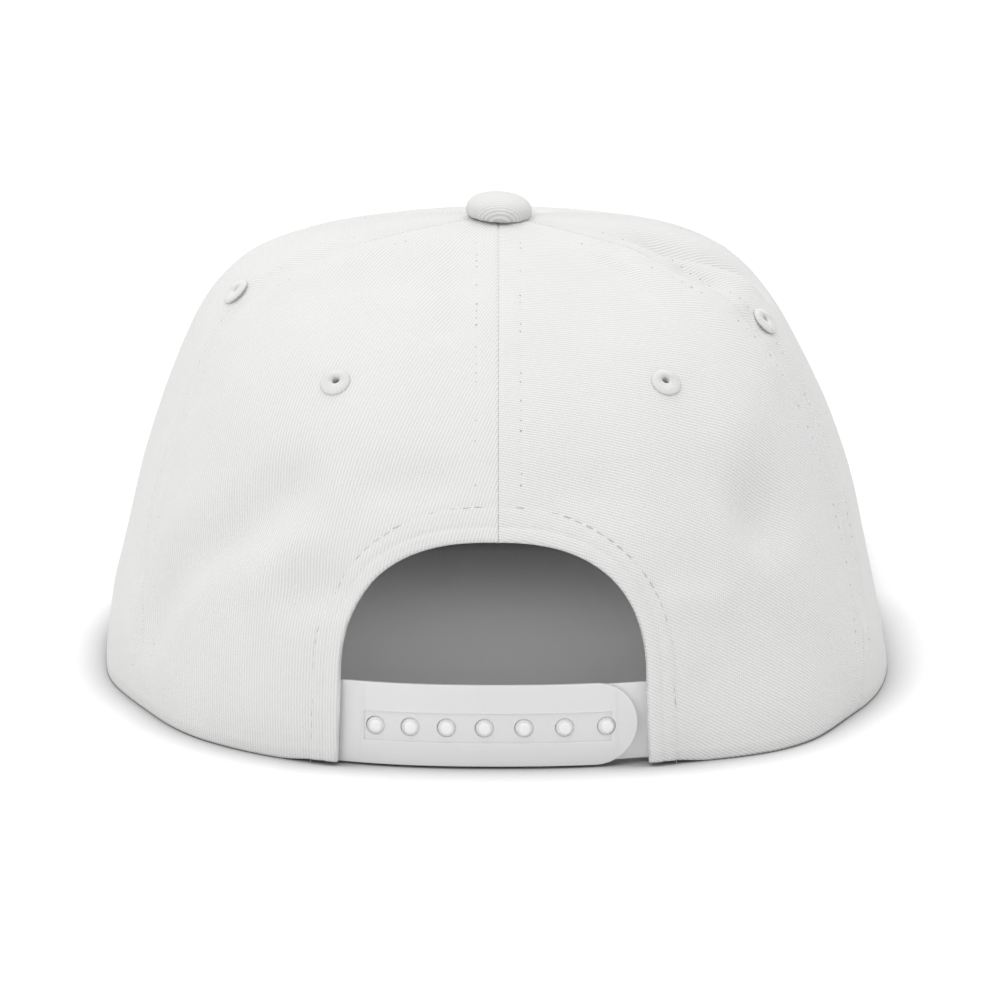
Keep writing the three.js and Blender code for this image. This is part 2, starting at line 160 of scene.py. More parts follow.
twill = {
    "light": (0.76, 0.76, 0.755),
    # The darker groove tone is painted shade in the grooves between the ribs
    "groove": (0.6, 0.6, 0.595),
    "pitch": 0.64,
    "yarnPitch": 0.47,
    "yarnTurn": 68,
    "yarnShare": 0.3,
    "napShare": 0.35,
    "mottle": 0.25,
    "bumpStrength": 0.6,
    "bumpDepth": 0.0002,
    "waveScale": 0.314,  # the scale at which a wave texture's bands lie 1 mm apart
    "napScale": 1.1,
    "mottleScale": 0.07,
    "smoothShare": 0.15,
}


def twillMaterial(
    name, ribAngle, light=twill["light"], groove=twill["groove"], pitch=twill["pitch"], smoothFrom=None,
):
    # Diagonal ribs and finer crossing yarns, both laid on the cloth's own millimetres. The darker groove
    # tone between the ribs is painted shade. With smoothFrom the ribs and their painted shade fade out
    # between its two distances below the middle, where the cloth is pulled smooth.
    material, tree, shader = newMaterial(name, roughness=0.9, sheen=0.12, specular=0.2)
    clothMap = tree.nodes.new("ShaderNodeUVMap")
    clothMap.uv_map = "clothMap"

    def bands(angle, width, distortion):
        turn = addNode(tree, "ShaderNodeMapping", Rotation=(0, 0, math.radians(angle)))
        tree.links.new(clothMap.outputs["UV"], turn.inputs["Vector"])
        wave = addNode(tree, "ShaderNodeTexWave", Scale=twill["waveScale"] / width, Distortion=distortion)
        wave.inputs["Detail"].default_value = 1
        wave.inputs["Detail Scale"].default_value = 0.5
        tree.links.new(turn.outputs["Vector"], wave.inputs["Vector"])
        return wave.outputs["Fac"]

    def blotches(scale, detail, roughness):
        noise = addNode(tree, "ShaderNodeTexNoise", Scale=scale, Detail=detail, Roughness=roughness)
        tree.links.new(clothMap.outputs["UV"], noise.inputs["Vector"])
        return noise.outputs["Fac"]

    def times(value, factor):
        return mathNode(tree, "MULTIPLY", value, factor)

    ribs = bands(90 - ribAngle, pitch, 0.7)
    yarns = bands(90 - ribAngle + twill["yarnTurn"], twill["yarnPitch"], 1.2)
    nap = blotches(twill["napScale"], 4.0, 0.6)
    mottle = blotches(twill["mottleScale"], 3.0, 0.5)
    share = twill["yarnShare"]
    woven = mathNode(tree, "ADD", times(ribs, 1 - share), times(yarns, share))
    if smoothFrom:
        spot = tree.nodes.new("ShaderNodeSeparateXYZ")
        tree.links.new(clothMap.outputs["UV"], spot.inputs["Vector"])
        limits = {
            "From Min": -smoothFrom[0], "From Max": -smoothFrom[1],
            "To Min": twill["smoothShare"], "To Max": 1.0,
        }
        strength = addNode(tree, "ShaderNodeMapRange", **limits)
        tree.links.new(spot.outputs["Y"], strength.inputs["Value"])
        offMean = mathNode(tree, "SUBTRACT", woven, 0.5)
        woven = mathNode(tree, "ADD", times(offMean, strength.outputs["Result"]), 0.5)
    height = mathNode(tree, "ADD", woven, times(nap, twill["napShare"]))
    shade = mathNode(tree, "ADD", woven, times(mottle, twill["mottle"]))
    tree.links.new(mixTones(tree, shade, groove, light), shader.inputs["Base Color"])
    addBump(tree, shader, height, twill["bumpStrength"], twill["bumpDepth"])
    return material


def threadMaterial(name, tone):
    material, tree, shader = newMaterial(name, roughness=0.7, sheen=0.1, specular=0.35)
    coordinates = tree.nodes.new("ShaderNodeTexCoord")
    twist = addNode(tree, "ShaderNodeTexNoise", Scale=2600.0, Detail=2.0)
    tree.links.new(coordinates.outputs["Object"], twist.inputs["Vector"])
    darker = tuple(0.9 * value for value in tone)
    tree.links.new(mixTones(tree, twist.outputs["Fac"], darker, tone), shader.inputs["Base Color"])
    addBump(tree, shader, twist.outputs["Fac"], 0.4, 0.0001)
    return material


def plasticMaterial(name, tone):
    material, tree, shader = newMaterial(name, roughness=0.38, specular=0.4)
    shader.inputs["Subsurface Weight"].default_value = 0.35
    shader.inputs["Subsurface Radius"].default_value = (1, 1, 1)
    shader.inputs["Subsurface Scale"].default_value = 0.0012
    coordinates = tree.nodes.new("ShaderNodeTexCoord")
    haze = addNode(tree, "ShaderNodeTexNoise", Scale=90.0, Detail=3.0)
    grain = addNode(tree, "ShaderNodeTexNoise", Scale=1800.0, Detail=2.0)
    for noise in (haze, grain):
        tree.links.new(coordinates.outputs["Object"], noise.inputs["Vector"])
    darker = tuple(0.965 * value for value in tone)
    tree.links.new(mixTones(tree, haze.outputs["Fac"], darker, tone), shader.inputs["Base Color"])
    addBump(tree, shader, grain.outputs["Fac"], 0.12, 0.00003)
    return material


thread = threadMaterial("sewingThread", (0.78, 0.78, 0.775))
strapPlastic = plasticMaterial("milkyPlastic", (0.715, 0.715, 0.72))
# A lighter copy of the strap plastic for the peg tab: painted light against the shade it lies in under the
# hole tab
pegPaintedLightPlastic = plasticMaterial("milkyPlasticPaintedLight", (0.82, 0.82, 0.82))
print("materials ready")


# The crown's surface: rings from the rim up. Heights at the front, side and back, reach forwards,
# sideways and backwards, squareness, and the seams' azimuths in degrees from the back.

crown = {
    "columns": (
        "zFront", "zSide", "zBack", "front", "side", "back", "square", "seamLeft", "seamRight", "seamFront",
    ),
    "rings": (
        (0, 0, 0, 94, 86.5, 95, 2.35, 57, 57, 121),
        (14, 14, 13, 94, 84.4, 94.5, 2.35, 60, 60.5, 121),
        (28, 28, 26, 93.5, 81.2, 92.5, 2.35, 62.5, 63, 121),
        (42, 42, 39, 92, 77.8, 88.5, 2.35, 64.3, 64.5, 121),
        (56, 55, 51, 89, 73.4, 82, 2.35, 66, 65, 121.5),
        (68, 66, 62, 83.5, 68.7, 74, 2.35, 67.3, 64.5, 122),
        (77, 75, 71.5, 75, 64.3, 64.5, 2.3, 68.3, 63.3, 122.5),
        (83.5, 82, 79.5, 63.5, 59.3, 53, 2.25, 68.8, 62.2, 123),
        (88.6, 87.3, 86, 49.5, 53.2, 40, 2.2, 68.8, 61.5, 123.5),
        (92.8, 91.7, 91, 34, 43.4, 26.5, 2.1, 68.3, 61, 124),
        (96.1, 95.2, 95, 17.5, 29, 13.3, 2, 67.3, 61, 124),
        (98, 98, 98, 0, 0, 0, 2, 66, 61, 124),
    ),
    "tipRing": 10.8,
    "cloth": 1.6,
    "seamGap": 0.05,
    # How the weave bends and narrows from the rim up
    "curl": 0.3,
    "curlAbove": 0.55,
    "taper": 600,
    "dents": (
        {"azimuth": -41, "ring": 3.7, "radius": 30, "depth": 1.3},
        {"azimuth": -26, "ring": 3.1, "radius": 17, "depth": 0.7},
        {"azimuth": 39, "ring": 4.2, "radius": 28, "depth": 1.3},
        {"azimuth": 25.5, "ring": 2.6, "radius": 15, "depth": 0.7},
        {"azimuth": 72, "ring": 8.6, "radius": 18, "depth": 0.7},
        {"azimuth": -100, "ring": 7, "radius": 35, "depth": -0.8},
        {"azimuth": -98, "ring": 4.8, "radius": 45, "depth": -1.4},
        {"azimuth": -92, "ring": 1, "radius": 45, "depth": -1},
        {"azimuth": 100, "ring": 7, "radius": 35, "depth": 1.2},
        {"azimuth": 98, "ring": 4.8, "radius": 45, "depth": 1.1},
        {"azimuth": 90, "ring": 1, "radius": 40, "depth": 1},
        {"azimuth": -56, "ring": 0, "radius": 30, "depth": 1.6},
        {"azimuth": 38, "ring": 0, "radius": 28, "depth": -3},
    ),
    "waviness": 0.1,
    "waveSize": 42,
    # Smaller hollows and swellings of the cloth
    "hollows": (
        {"azimuth": 41.5, "ring": 3.5, "radius": 14, "depth": 2.6},
        {"azimuth": 50, "ring": 3.3, "radius": 26, "depth": 1.6},
        {"azimuth": 41, "ring": 4.9, "radius": 15, "depth": -1.5},
    ),
    # Long folds, each through these azimuths and rings. A furrow has a height below 0.
    "folds": (
        {
            "height": -3, "width": 7,
            "line": ((-26, 4.8), (-35, 3.9), (-42, 3.2), (-50.5, 2.5), (-56.5, 1.6), (-58.5, 0.5)),
        },
        {"height": 0.9, "width": 5, "line": ((-22, 3.8), (-31, 3), (-38, 2.2))},
        {"height": -2, "width": 5.5, "line": ((-17, 3.2), (-22, 2.8), (-27, 2.6), (-32, 2.2))},
        {
            "height": -1, "width": 2.8,
            "line": ((-70.5, 9.6), (-71.5, 8.2), (-71, 7), (-70, 5), (-67, 3.2), (-63.5, 1.6)),
        },
        {"height": 0.7, "width": 4.2, "line": ((-58, 9.6), (-63.5, 8), (-63.5, 6.8), (-62, 5), (-60, 3.6))},
        {"height": -0.9, "width": 4.5, "line": ((-36, 10), (-18, 9), (-12.5, 8), (-10, 7))},
        {"height": -1, "width": 5, "line": ((-24, 4.3), (-12, 4.5), (-3, 4.55))},
        {"height": -0.8, "width": 6, "line": ((2, 4.4), (11, 4.4), (22, 4.1))},
        {"height": 1, "width": 4, "line": ((20, 2.6), (26.5, 2.5), (34, 2.35))},
        {
            "height": -1.2, "width": 4,
            "line": ((62.5, 7.4), (64, 6.6), (65.5, 5.5), (66, 4.5), (65, 3), (62.5, 1)),
        },
        {"height": 1, "width": 4.5, "line": ((48, 9.9), (53, 8.8), (54.5, 7.6), (56, 6.4), (57.5, 5))},
        {"height": -1.6, "width": 2.8, "line": ((64, 8.9), (65.2, 8.2), (66, 7.5))},
        {"height": 1.5, "width": 3.8, "line": ((62, 9.7), (71, 8.9), (75.5, 8.3), (76.5, 7.6), (75, 6.9))},
        {"height": -4, "width": 6.5, "line": ((70, 9.9), (80, 9.1), (85, 8.4), (88, 7.6), (90, 6.4))},
        {"height": -0.8, "width": 2.8, "line": ((38, 9.7), (43.5, 9.2), (44.5, 8.5), (43, 7.8))},
    ),
}
ringTable = np.array(crown["rings"], float)
topRing = len(ringTable) - 1


def ringAt(t):
    t = np.asarray(t, float)
    row = np.clip(np.floor(t).astype(int), 0, topRing - 1)
    u = (t - row)[..., None]
    start = ringTable[row]
    end = ringTable[row + 1]
    before = np.where(row[..., None] > 0, ringTable[row - 1], 2 * start - end)
    after = np.where(row[..., None] < topRing - 1, ringTable[np.minimum(row + 2, topRing)], 2 * end - start)
    slope = (end - before) * u
    bend = (2 * before - 5 * start + 4 * end - after) * u ** 2
    turn = (3 * start - before - 3 * end + after) * u ** 3
    return dict(zip(crown["columns"], np.moveaxis(start + (slope + bend + turn) / 2, -1, 0)))


def shellPoint(azimuth, t):
    ring = ringAt(t)
    across = np.sin(np.radians(azimuth))
    back = np.cos(np.radians(azimuth))
    reach = np.maximum(np.where(back > 0, ring["back"], ring["front"]), 1e-6)
    side = np.maximum(ring["side"], 1e-6)
    zEnd = np.where(back > 0, ring["zBack"], ring["zFront"])
    z = ring["zSide"] + (zEnd - ring["zSide"]) * back ** 2
    square = ring["square"]
    radius = ((np.abs(across) / side) ** square + (np.abs(back) / reach) ** square) ** (-1 / square)
    return np.stack([radius * across, -radius * back, z], -1)


def unit(vectors):
    return vectors / np.linalg.norm(vectors, axis=-1, keepdims=True)


def shellNormal(azimuth, t):
    low = np.maximum(np.asarray(t, float) - 0.02, 0)
    high = np.minimum(np.asarray(t, float) + 0.02, topRing - 0.02)
    level = np.minimum(t, high)
    along = shellPoint(azimuth + 0.2, level) - shellPoint(azimuth - 0.2, level)
    up = shellPoint(azimuth, high) - shellPoint(azimuth, low)
    return unit(np.cross(along, up))


def ripple(points, size, seed):
    waves = np.random.default_rng(seed)
    total = 0
    for _ in range(9):
        direction = unit(waves.normal(size=3))
        rate = 2 * math.pi / size * waves.uniform(0.6, 1.7)
        total = total + np.sin(points @ direction * rate + waves.uniform(0, 2 * math.pi))
    return total / 3


def dentDepth(points, dents):
    # Below 0 a dent is a swelling
    depth = 0
    for dent in dents:
        centre = shellPoint(dent["azimuth"], dent["ring"])
        reach = np.minimum(np.linalg.norm(points - centre, axis=-1) / dent["radius"], 1)
        depth = depth + dent["depth"] * (1 + np.cos(np.pi * reach)) / 2
    return depth


def dentedPoint(azimuth, t, height):
    # A point over the crown's surface, with its dents
    base = shellPoint(azimuth, t)
    lift = height - dentDepth(base, crown["dents"])
    point = base + shellNormal(azimuth, t) * np.asarray(lift)[..., None]
    point[..., 2] = np.where(np.asarray(t) < 1e-6, 0, point[..., 2])
    return point


def foldLine(fold):
    places = np.array(fold["line"], float)
    steps = np.arange(len(places))
    fine = np.linspace(0, steps[-1], 6 * len(places))
    return shellPoint(np.interp(fine, steps, places[:, 0]), np.interp(fine, steps, places[:, 1]))


foldLines = [foldLine(fold) for fold in crown["folds"]]


def foldHeight(points):
    # Each fold fades out towards both its ends
    spots = points.reshape(-1, 3)
    height = np.zeros(len(spots))
    for fold, line in zip(crown["folds"], foldLines):
        distance, along = nearLine(spots, line)
        length = np.linalg.norm(np.diff(line, axis=0), axis=1).sum()
        fade = min(2 * fold["width"], length / 2)
        ends = smoothStep(along, 0, fade) * smoothStep(length - along, 0, fade)
        height += fold["height"] * bell(distance, 0, fold["width"]) * ends
    return height.reshape(points.shape[:-1])


def clothPoint(azimuth, t, height):
    # The same point on the waved and folded cloth
    bare = shellPoint(azimuth, t)
    wave = crown["waviness"] * ripple(bare, crown["waveSize"], 3)
    return dentedPoint(azimuth, t, height + wave + foldHeight(bare) - dentDepth(bare, crown["hollows"]))


def surfaceAt(x, z):
    # Azimuth and ring of the points of the back half with these x and z
    x, z = np.broadcast_arrays(np.asarray(x, float), np.asarray(z, float))
    azimuth = np.zeros(x.shape)
    for _ in range(8):
        low = np.zeros(x.shape)
        high = np.full(x.shape, float(topRing))
        for _ in range(26):
            t = (low + high) / 2
            under = shellPoint(azimuth, t)[..., 2] < z
            low = np.where(under, t, low)
            high = np.where(under, high, t)
        point = shellPoint(azimuth, t)
        azimuth = np.degrees(np.arcsin(x / np.hypot(point[..., 0], point[..., 1])))
    return azimuth, np.where(z <= 0, 0, t)


def seam(name, sign=1):
    return lambda t: sign * ringAt(t)[name]


def aroundSeam(name):
    return lambda t: 360 - ringAt(t)[name]


# Cloth millimetres: how far a place is around its ring and up from the rim
mapAzimuths = np.arange(-126, 247, 2.0)
mapRings = np.linspace(0, topRing - 0.1, 110)
mapPoints = shellPoint(mapAzimuths[None, :], mapRings[:, None])
aroundSteps = np.linalg.norm(np.diff(mapPoints, axis=1), axis=-1)
upSteps = np.linalg.norm(np.diff(mapPoints, axis=0), axis=-1)
aroundMap = np.concatenate([np.zeros((len(mapRings), 1)), np.cumsum(aroundSteps, axis=1)], axis=1)
upMap = np.concatenate([np.zeros((1, len(mapAzimuths))), np.cumsum(upSteps, axis=0)], axis=0)


def lookUp(table, azimuth, t):
    column = (azimuth - mapAzimuths[0]) / (mapAzimuths[1] - mapAzimuths[0])
    row = t / (mapRings[1] - mapRings[0])
    i = np.clip(np.floor(row).astype(int), 0, len(mapRings) - 2)
    j = np.clip(np.floor(column).astype(int), 0, len(mapAzimuths) - 2)
    a = row - i
    b = column - j
    near = table[i, j] * (1 - b) + table[i, j + 1] * b
    far = table[i + 1, j] * (1 - b) + table[i + 1, j + 1] * b
    return near * (1 - a) + far * a


def clothSpot(azimuth, t, middle):
    # As the gore is cut from flat cloth, its rings bend up away from its middle
    across = lookUp(aroundMap, azimuth, t) - lookUp(aroundMap, np.full_like(azimuth, middle), t)
    up = lookUp(upMap, azimuth, t)
    bent = crown["curl"] + crown["curlAbove"] * smoothStep(t, 2, 9)
    curl = bent / np.linalg.norm(shellPoint(azimuth, t)[:, :2], axis=-1)
    return np.stack([across * (1 - up / crown["taper"]), up + curl * across ** 2 / 2], -1)


# Helpers that make and finish pieces

def doubleSheet(across, along):
    # Two grids back to back, joined round their edges. The upper one becomes the outside.
    sheet = bmesh.new()
    bmesh.ops.create_grid(sheet, x_segments=across, y_segments=along, size=0.5)
    copied = bmesh.ops.duplicate(sheet, geom=sheet.verts[:] + sheet.edges[:] + sheet.faces[:])["geom"]
    lower = [item for item in copied if isinstance(item, bmesh.types.BMVert)]
    bmesh.ops.translate(sheet, verts=lower, vec=(0, 0, -0.004))
    bmesh.ops.reverse_faces(sheet, faces=[item for item in copied if isinstance(item, bmesh.types.BMFace)])
    bmesh.ops.bridge_loops(sheet, edges=[edge for edge in sheet.edges if edge.is_boundary])
    sheet.verts.index_update()
    return sheet


def readGrid(sheet):
    spots = np.array([vert.co[:] for vert in sheet.verts])
    return spots[:, 0] + 0.5, spots[:, 1] + 0.5, spots[:, 2] > -0.002


def placeVerts(shape, points):
    for vert, point in zip(shape.verts, points * mm):
        vert.co = point


def writeClothMap(shape, spots):
    layer = shape.loops.layers.uv.new("clothMap")
    for face in shape.faces:
        for loop in face.loops:
            loop[layer].uv = spots[loop.vert.index]


def sharpenWalls(shape, outside):
    # The thin walls between the two sheets keep a crisp edge
    for edge in shape.edges:
        if outside[edge.verts[0].index] == outside[edge.verts[1].index] and len(edge.link_faces) == 2:
            walls = [len({outside[v.index] for v in face.verts}) == 2 for face in edge.link_faces]
            edge.smooth = walls[0] == walls[1]


def meshFrom(name, shape):
    mesh = bpy.data.meshes.new(name)
    shape.to_mesh(mesh)
    shape.free()
    return mesh


def finishPiece(name, shape, material, nodes=()):
    bmesh.ops.recalc_face_normals(shape, faces=shape.faces[:])
    for face in shape.faces:
        face.smooth = True
    piece = linkObject(name, meshFrom(name, shape))
    piece.data.materials.append(material)
    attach(piece, "root")
    if nodes:
        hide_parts(*nodes)
    return piece


def applyModifiers(piece):
    evaluated = piece.evaluated_get(bpy.context.evaluated_depsgraph_get())
    mesh = bpy.data.meshes.new_from_object(evaluated)
    piece.modifiers.clear()
    piece.data = mesh


def cutOut(piece, cutter):
    bmesh.ops.recalc_face_normals(cutter, faces=cutter.faces[:])
    tool = linkObject("cutter", meshFrom("cutter", cutter))
    cut = piece.modifiers.new("cut", "BOOLEAN")
    cut.operation = "DIFFERENCE"
    cut.solver = "EXACT"
    cut.object = tool
    applyModifiers(piece)
    bpy.data.objects.remove(tool)


def drill(piece, radius, depth, segments, place):
    bore = bmesh.new()
    bmesh.ops.create_cone(
        bore, cap_ends=True, segments=segments, radius1=radius, radius2=radius, depth=depth, matrix=place,
    )
    cutOut(piece, bore)


def spinProfile(profile, steps, closed=False):
    # Radii and heights in millimetres, turned round the upright axis
    shape = bmesh.new()
    corners = [shape.verts.new((radius * mm, 0, height * mm)) for radius, height in profile]
    ends = corners[1:] + corners[:1] if closed else corners[1:]
    edges = [shape.edges.new(pair) for pair in zip(corners, ends)]
    bmesh.ops.spin(
        shape, geom=corners + edges, cent=(0, 0, 0), axis=(0, 0, 1), angle=2 * math.pi, steps=steps,
        use_merge=True,
    )
    bmesh.ops.remove_doubles(shape, verts=shape.verts[:], dist=1e-7)
    return shape


def placeMatrix(azimuth, t, height=0.0):
    # A frame on the cloth: x along the ring, z outwards, in metres
    normal = shellNormal(azimuth, t)
    along = unit(shellPoint(azimuth + 0.2, t) - shellPoint(azimuth - 0.2, t))
    up = np.cross(normal, along)
    place = clothPoint(azimuth, t, height) * mm
    return Matrix((
        (along[0], up[0], normal[0], place[0]),
        (along[1], up[1], normal[1], place[1]),
        (along[2], up[2], normal[2], place[2]),
        (0, 0, 0, 1),
    ))


def bunched(u, amount=0.7):
    # Evenly spaced values drawn towards both ends
    return u - amount * np.sin(2 * np.pi * u) / (2 * np.pi)


def bunchedLow(u, amount=0.75):
    return u - amount * np.sin(np.pi * u) / np.pi


def smoothStep(value, low, high):
    share = np.clip((value - low) / (high - low), 0, 1)
    return share * share * (3 - 2 * share)


def bell(value, centre, width):
    return np.exp(-((value - centre) / width) ** 2)


def runLengths(line):
    # How far along a line of short steps each of its points is
    return np.concatenate([[0], np.cumsum(np.linalg.norm(np.diff(line, axis=0), axis=1))])


def nearLine(points, line):
    # Distance from each point to a line of short steps, and how far along the line that is
    steps = np.diff(line, axis=0)
    lengths = np.linalg.norm(steps, axis=1)
    starts = np.concatenate([[0], np.cumsum(lengths)[:-1]])
    distance = np.empty(len(points))
    along = np.empty(len(points))
    for first in range(0, len(points), 4000):
        block = points[first:first + 4000]
        offset = block[:, None, :] - line[None, :-1, :]
        share = np.clip((offset * steps).sum(-1) / lengths ** 2, 0, 1)
        gaps = np.linalg.norm(offset - share[..., None] * steps, axis=-1)
        best = gaps.argmin(axis=1)
        rows = np.arange(len(block))
        distance[first:first + 4000] = gaps[rows, best]
        along[first:first + 4000] = starts[best] + share[rows, best] * lengths[best]
    return distance, along


# Stitch rows

stitches = {
    "length": 1.95,
    "pitch": 2.5,
    "width": 0.4,
    "height": 0.3,
    # The height of the dark beads of painted shade at the needle holes
    "shadeBeadHeight": 0.1,
    "aim": 0.6,  # a stitch points from this far before its middle to this far after it
    "topRing": 10.3,
}


def offsetPath(azimuth, t, distance):
    # The path that runs beside another one on the cloth, to its left if distance is above 0
    points = shellPoint(azimuth, t)
    along = unit(np.gradient(points, axis=0))
    normal = shellNormal(azimuth, t)
    side = np.cross(normal, along) * distance
    perAzimuth = (shellPoint(azimuth + 0.2, t) - shellPoint(azimuth - 0.2, t)) / 0.4
    perRing = (shellPoint(azimuth, np.minimum(t + 0.02, topRing - 0.05)) - shellPoint(azimuth, t)) / 0.02
    aa = (perAzimuth * perAzimuth).sum(-1)
    ab = (perAzimuth * perRing).sum(-1)
    bb = (perRing * perRing).sum(-1)
    a = (side * perAzimuth).sum(-1)
    b = (side * perRing).sum(-1)
    span = aa * bb - ab * ab
    return azimuth + (a * bb - b * ab) / span, t + (b * aa - a * ab) / span


def interpRows(at, lengths, rows):
    return np.stack([np.interp(at, lengths, rows[:, k]) for k in range(3)], -1)


def stitchAlong(row, points, normals, seed, pitch=stitches["pitch"], shadeBeads=None, shadeBeadSize=(0.2, 0.2)):
    # Adds the place and three half axes of each stitch on a path, and of the needle hole before it,
    # which is a dark bead of painted shade
    lengths = runLengths(points)
    middles = pitch * (np.arange(int(lengths[-1] / pitch)) + 0.5)
    chance = np.random.default_rng(seed)
    before = interpRows(middles - stitches["aim"], lengths, points)
    after = interpRows(middles + stitches["aim"], lengths, points)
    normal = unit(interpRows(middles, lengths, normals))
    along = unit(after - before + chance.normal(0, 0.05, before.shape))
    side = unit(np.cross(normal, along))
    reach = stitches["length"] / 2 * chance.uniform(0.92, 1.06, (len(middles), 1))
    row.append(np.stack([
        (before + after) / 2, side * stitches["width"] / 2, normal * stitches["height"] / 2, along * reach,
    ], 1))
    if shadeBeads is not None:
        hole = (before + after) / 2 - along * pitch / 2 + normal * stitches["height"] / 2
        shadeBeads.append(np.stack([
            hole, side * shadeBeadSize[1], normal * stitches["shadeBeadHeight"] / 2, along * shadeBeadSize[0],
        ], 1))


def stitchCloth(azimuth, t, seed, lift, shadeBeadSize):
    # The thread's middle lies at this height over the bare cloth, and the holes' dark beads of painted
    # shade at the thread's top
    path = clothPoint(azimuth, t, lift)
    stitchAlong(crownStitches, path, shellNormal(azimuth, t), seed, shadeBeads=holeShadeBeads, shadeBeadSize=shadeBeadSize)


def sewStitches(name, rows, material=thread):
    # One round stitch is doubled until there are enough, and each copy is then put in its place
    places = np.concatenate(rows)
    shape = bmesh.new()
    bmesh.ops.create_uvsphere(shape, u_segments=6, v_segments=4, radius=1)
    number = shape.verts.layers.int.new("number")
    count = 1
    while count < len(places):
        copied = bmesh.ops.duplicate(shape, geom=shape.verts[:] + shape.edges[:] + shape.faces[:])["geom"]
        for item in copied:
            if isinstance(item, bmesh.types.BMVert):
                item[number] += count
        count *= 2
    spare = [vert for vert in shape.verts if vert[number] >= len(places)]
    bmesh.ops.delete(shape, geom=spare, context="VERTS")
    ball = np.array([vert.co[:] for vert in shape.verts])
    place = places[[vert[number] for vert in shape.verts]]
    placeVerts(shape, place[:, 0] + np.einsum("vk,vkc->vc", ball, place[:, 1:]))
    return finishPiece(name, shape, material)


# Crown panels

panel = {
    "columnsFront": 130,
    "columnsSide": 100,
    "columnsBack": 100,
    "rows": 150,
    "topstitchAt": 4.6,
    "puffAt": 2.2,
    "puffWidth": 1.4,
    "puckerAt": 3.4,
    "puckerWidth": 3.2,
    "puckerSize": 6.5,
    "unevenness": 0.03,
    "unevenSize": 9,
    "rimRound": 0.7,
    "rimRoll": 0.1,
    "rimRollAt": 2.4,
    "innerRound": 0.4,
    "footLift": 0.7,
    "footReach": (36, 45),
    "footHeight": 9,
    "angles": {"Front": 45, "SideLeft": 70, "SideRight": 130, "BackLeft": 95, "BackRight": 147},
}

# How each seam is drawn in: the rounding of its edges, the puffed strips beside it and their puckers,
# the dip under its rows of stitches, the step up to the doubled cloth between them, the height of
# their thread and the size of the dark beads of painted shade at their needle holes
seams = {
    "centre": {
        "round": 0.3, "puff": 0.02, "pucker": 0.03, "dip": 0.06,
        "ledge": 0.1, "thread": -0.15, "hole": 0.24,
    },
    "left": {
        "round": 0.2, "puff": 0.1, "pucker": 0.05, "dip": 0.04,
        "ledge": 0.04, "thread": -0.17, "hole": 0.12,
    },
    "right": {
        "round": 0.35, "puff": 0.2, "pucker": 0.12, "dip": 0.12,
        "ledge": 0.1, "thread": -0.1, "hole": 0.2,
    },
    "front": {
        "round": 0.3, "puff": 0.12, "pucker": 0.05, "dip": 0.06,
        "ledge": 0.04, "thread": -0.15, "hole": 0.16,
    },
}

arch = {
    "centre": -1,
    "footHalf": 32.4,
    "half": 31.85,
    "spring": 17.2,
    "top": 46.45,
    "square": 2.49,
    "legShare": 0.3,
    "hemLeg": 5.8,
    "hemTop": 7.4,
    "hemRaise": 0.1,
    "legRaise": 0.3,
    "rollWidth": 3.0,
    "rollRaise": 0.16,
    "innerDip": 0.14,
    "innerAt": 3.1,
    "innerRound": 0.5,
    "pucker": 0.07,
    "puckerAt": 3.6,
    "puckerWidth": 2.2,
    "puckerSize": 5.2,
    "stitchDip": 0.14,
    "thread": -0.2,
    "edgeRound": 0.4,
}


def signedPower(value, power):
    return np.sign(value) * np.abs(value) ** power


def archPlace(side, f):
    # The arch's edge from its foot on the rim to its crest, f from 0 to 1. side is 1 or -1,
    # and the azimuths count away from the back on either side.
    centre = arch["centre"]
    half = arch["half"]
    square = arch["square"]
    climb = np.minimum(f / arch["legShare"], 1)
    crossing = math.acos(signedPower(-side * centre / half, square / 2))
    angle = crossing * np.clip((f - arch["legShare"]) / (1 - arch["legShare"]), 0, 1)
    onLeg = f < arch["legShare"]
    legX = centre + side * (arch["footHalf"] + (half - arch["footHalf"]) * climb)
    bendX = centre + side * half * signedPower(np.cos(angle), 2 / square)
    bendX = side * np.maximum(side * bendX, crown["seamGap"] / 2)
    bendZ = arch["spring"] + (arch["top"] - arch["spring"]) * np.sin(angle) ** (2 / square)
    azimuth, t = surfaceAt(np.where(onLeg, legX, bendX), np.where(onLeg, arch["spring"] * climb, bendZ))
    return side * azimuth, t


def hemWidth(x):
    legShare = smoothStep(np.abs(x - arch["centre"]), 8, 26)
    return arch["hemTop"] + (arch["hemLeg"] - arch["hemTop"]) * legShare


def seamRelief(distance, along, look, seed):
    # The puffs and puckers fade out towards the rim
    fade = smoothStep(along, 4, 24)
    wave = ripple(np.stack([along, distance * 0.4, distance * 0], -1), panel["puckerSize"], seed)
    puff = look["puff"] * bell(distance, panel["puffAt"], panel["puffWidth"]) * (1 + 0.25 * wave)
    row = panel["topstitchAt"]
    groove = look["dip"] * bell(distance, row, 0.55)
    ledge = look["ledge"] * (1 - smoothStep(distance, row - 0.4, row + 0.3))
    pucker = look["pucker"] * wave * bell(distance, panel["puckerAt"], panel["puckerWidth"])
    return (puff + ledge + pucker - groove) * fade - roundedEdge(distance, look["round"])


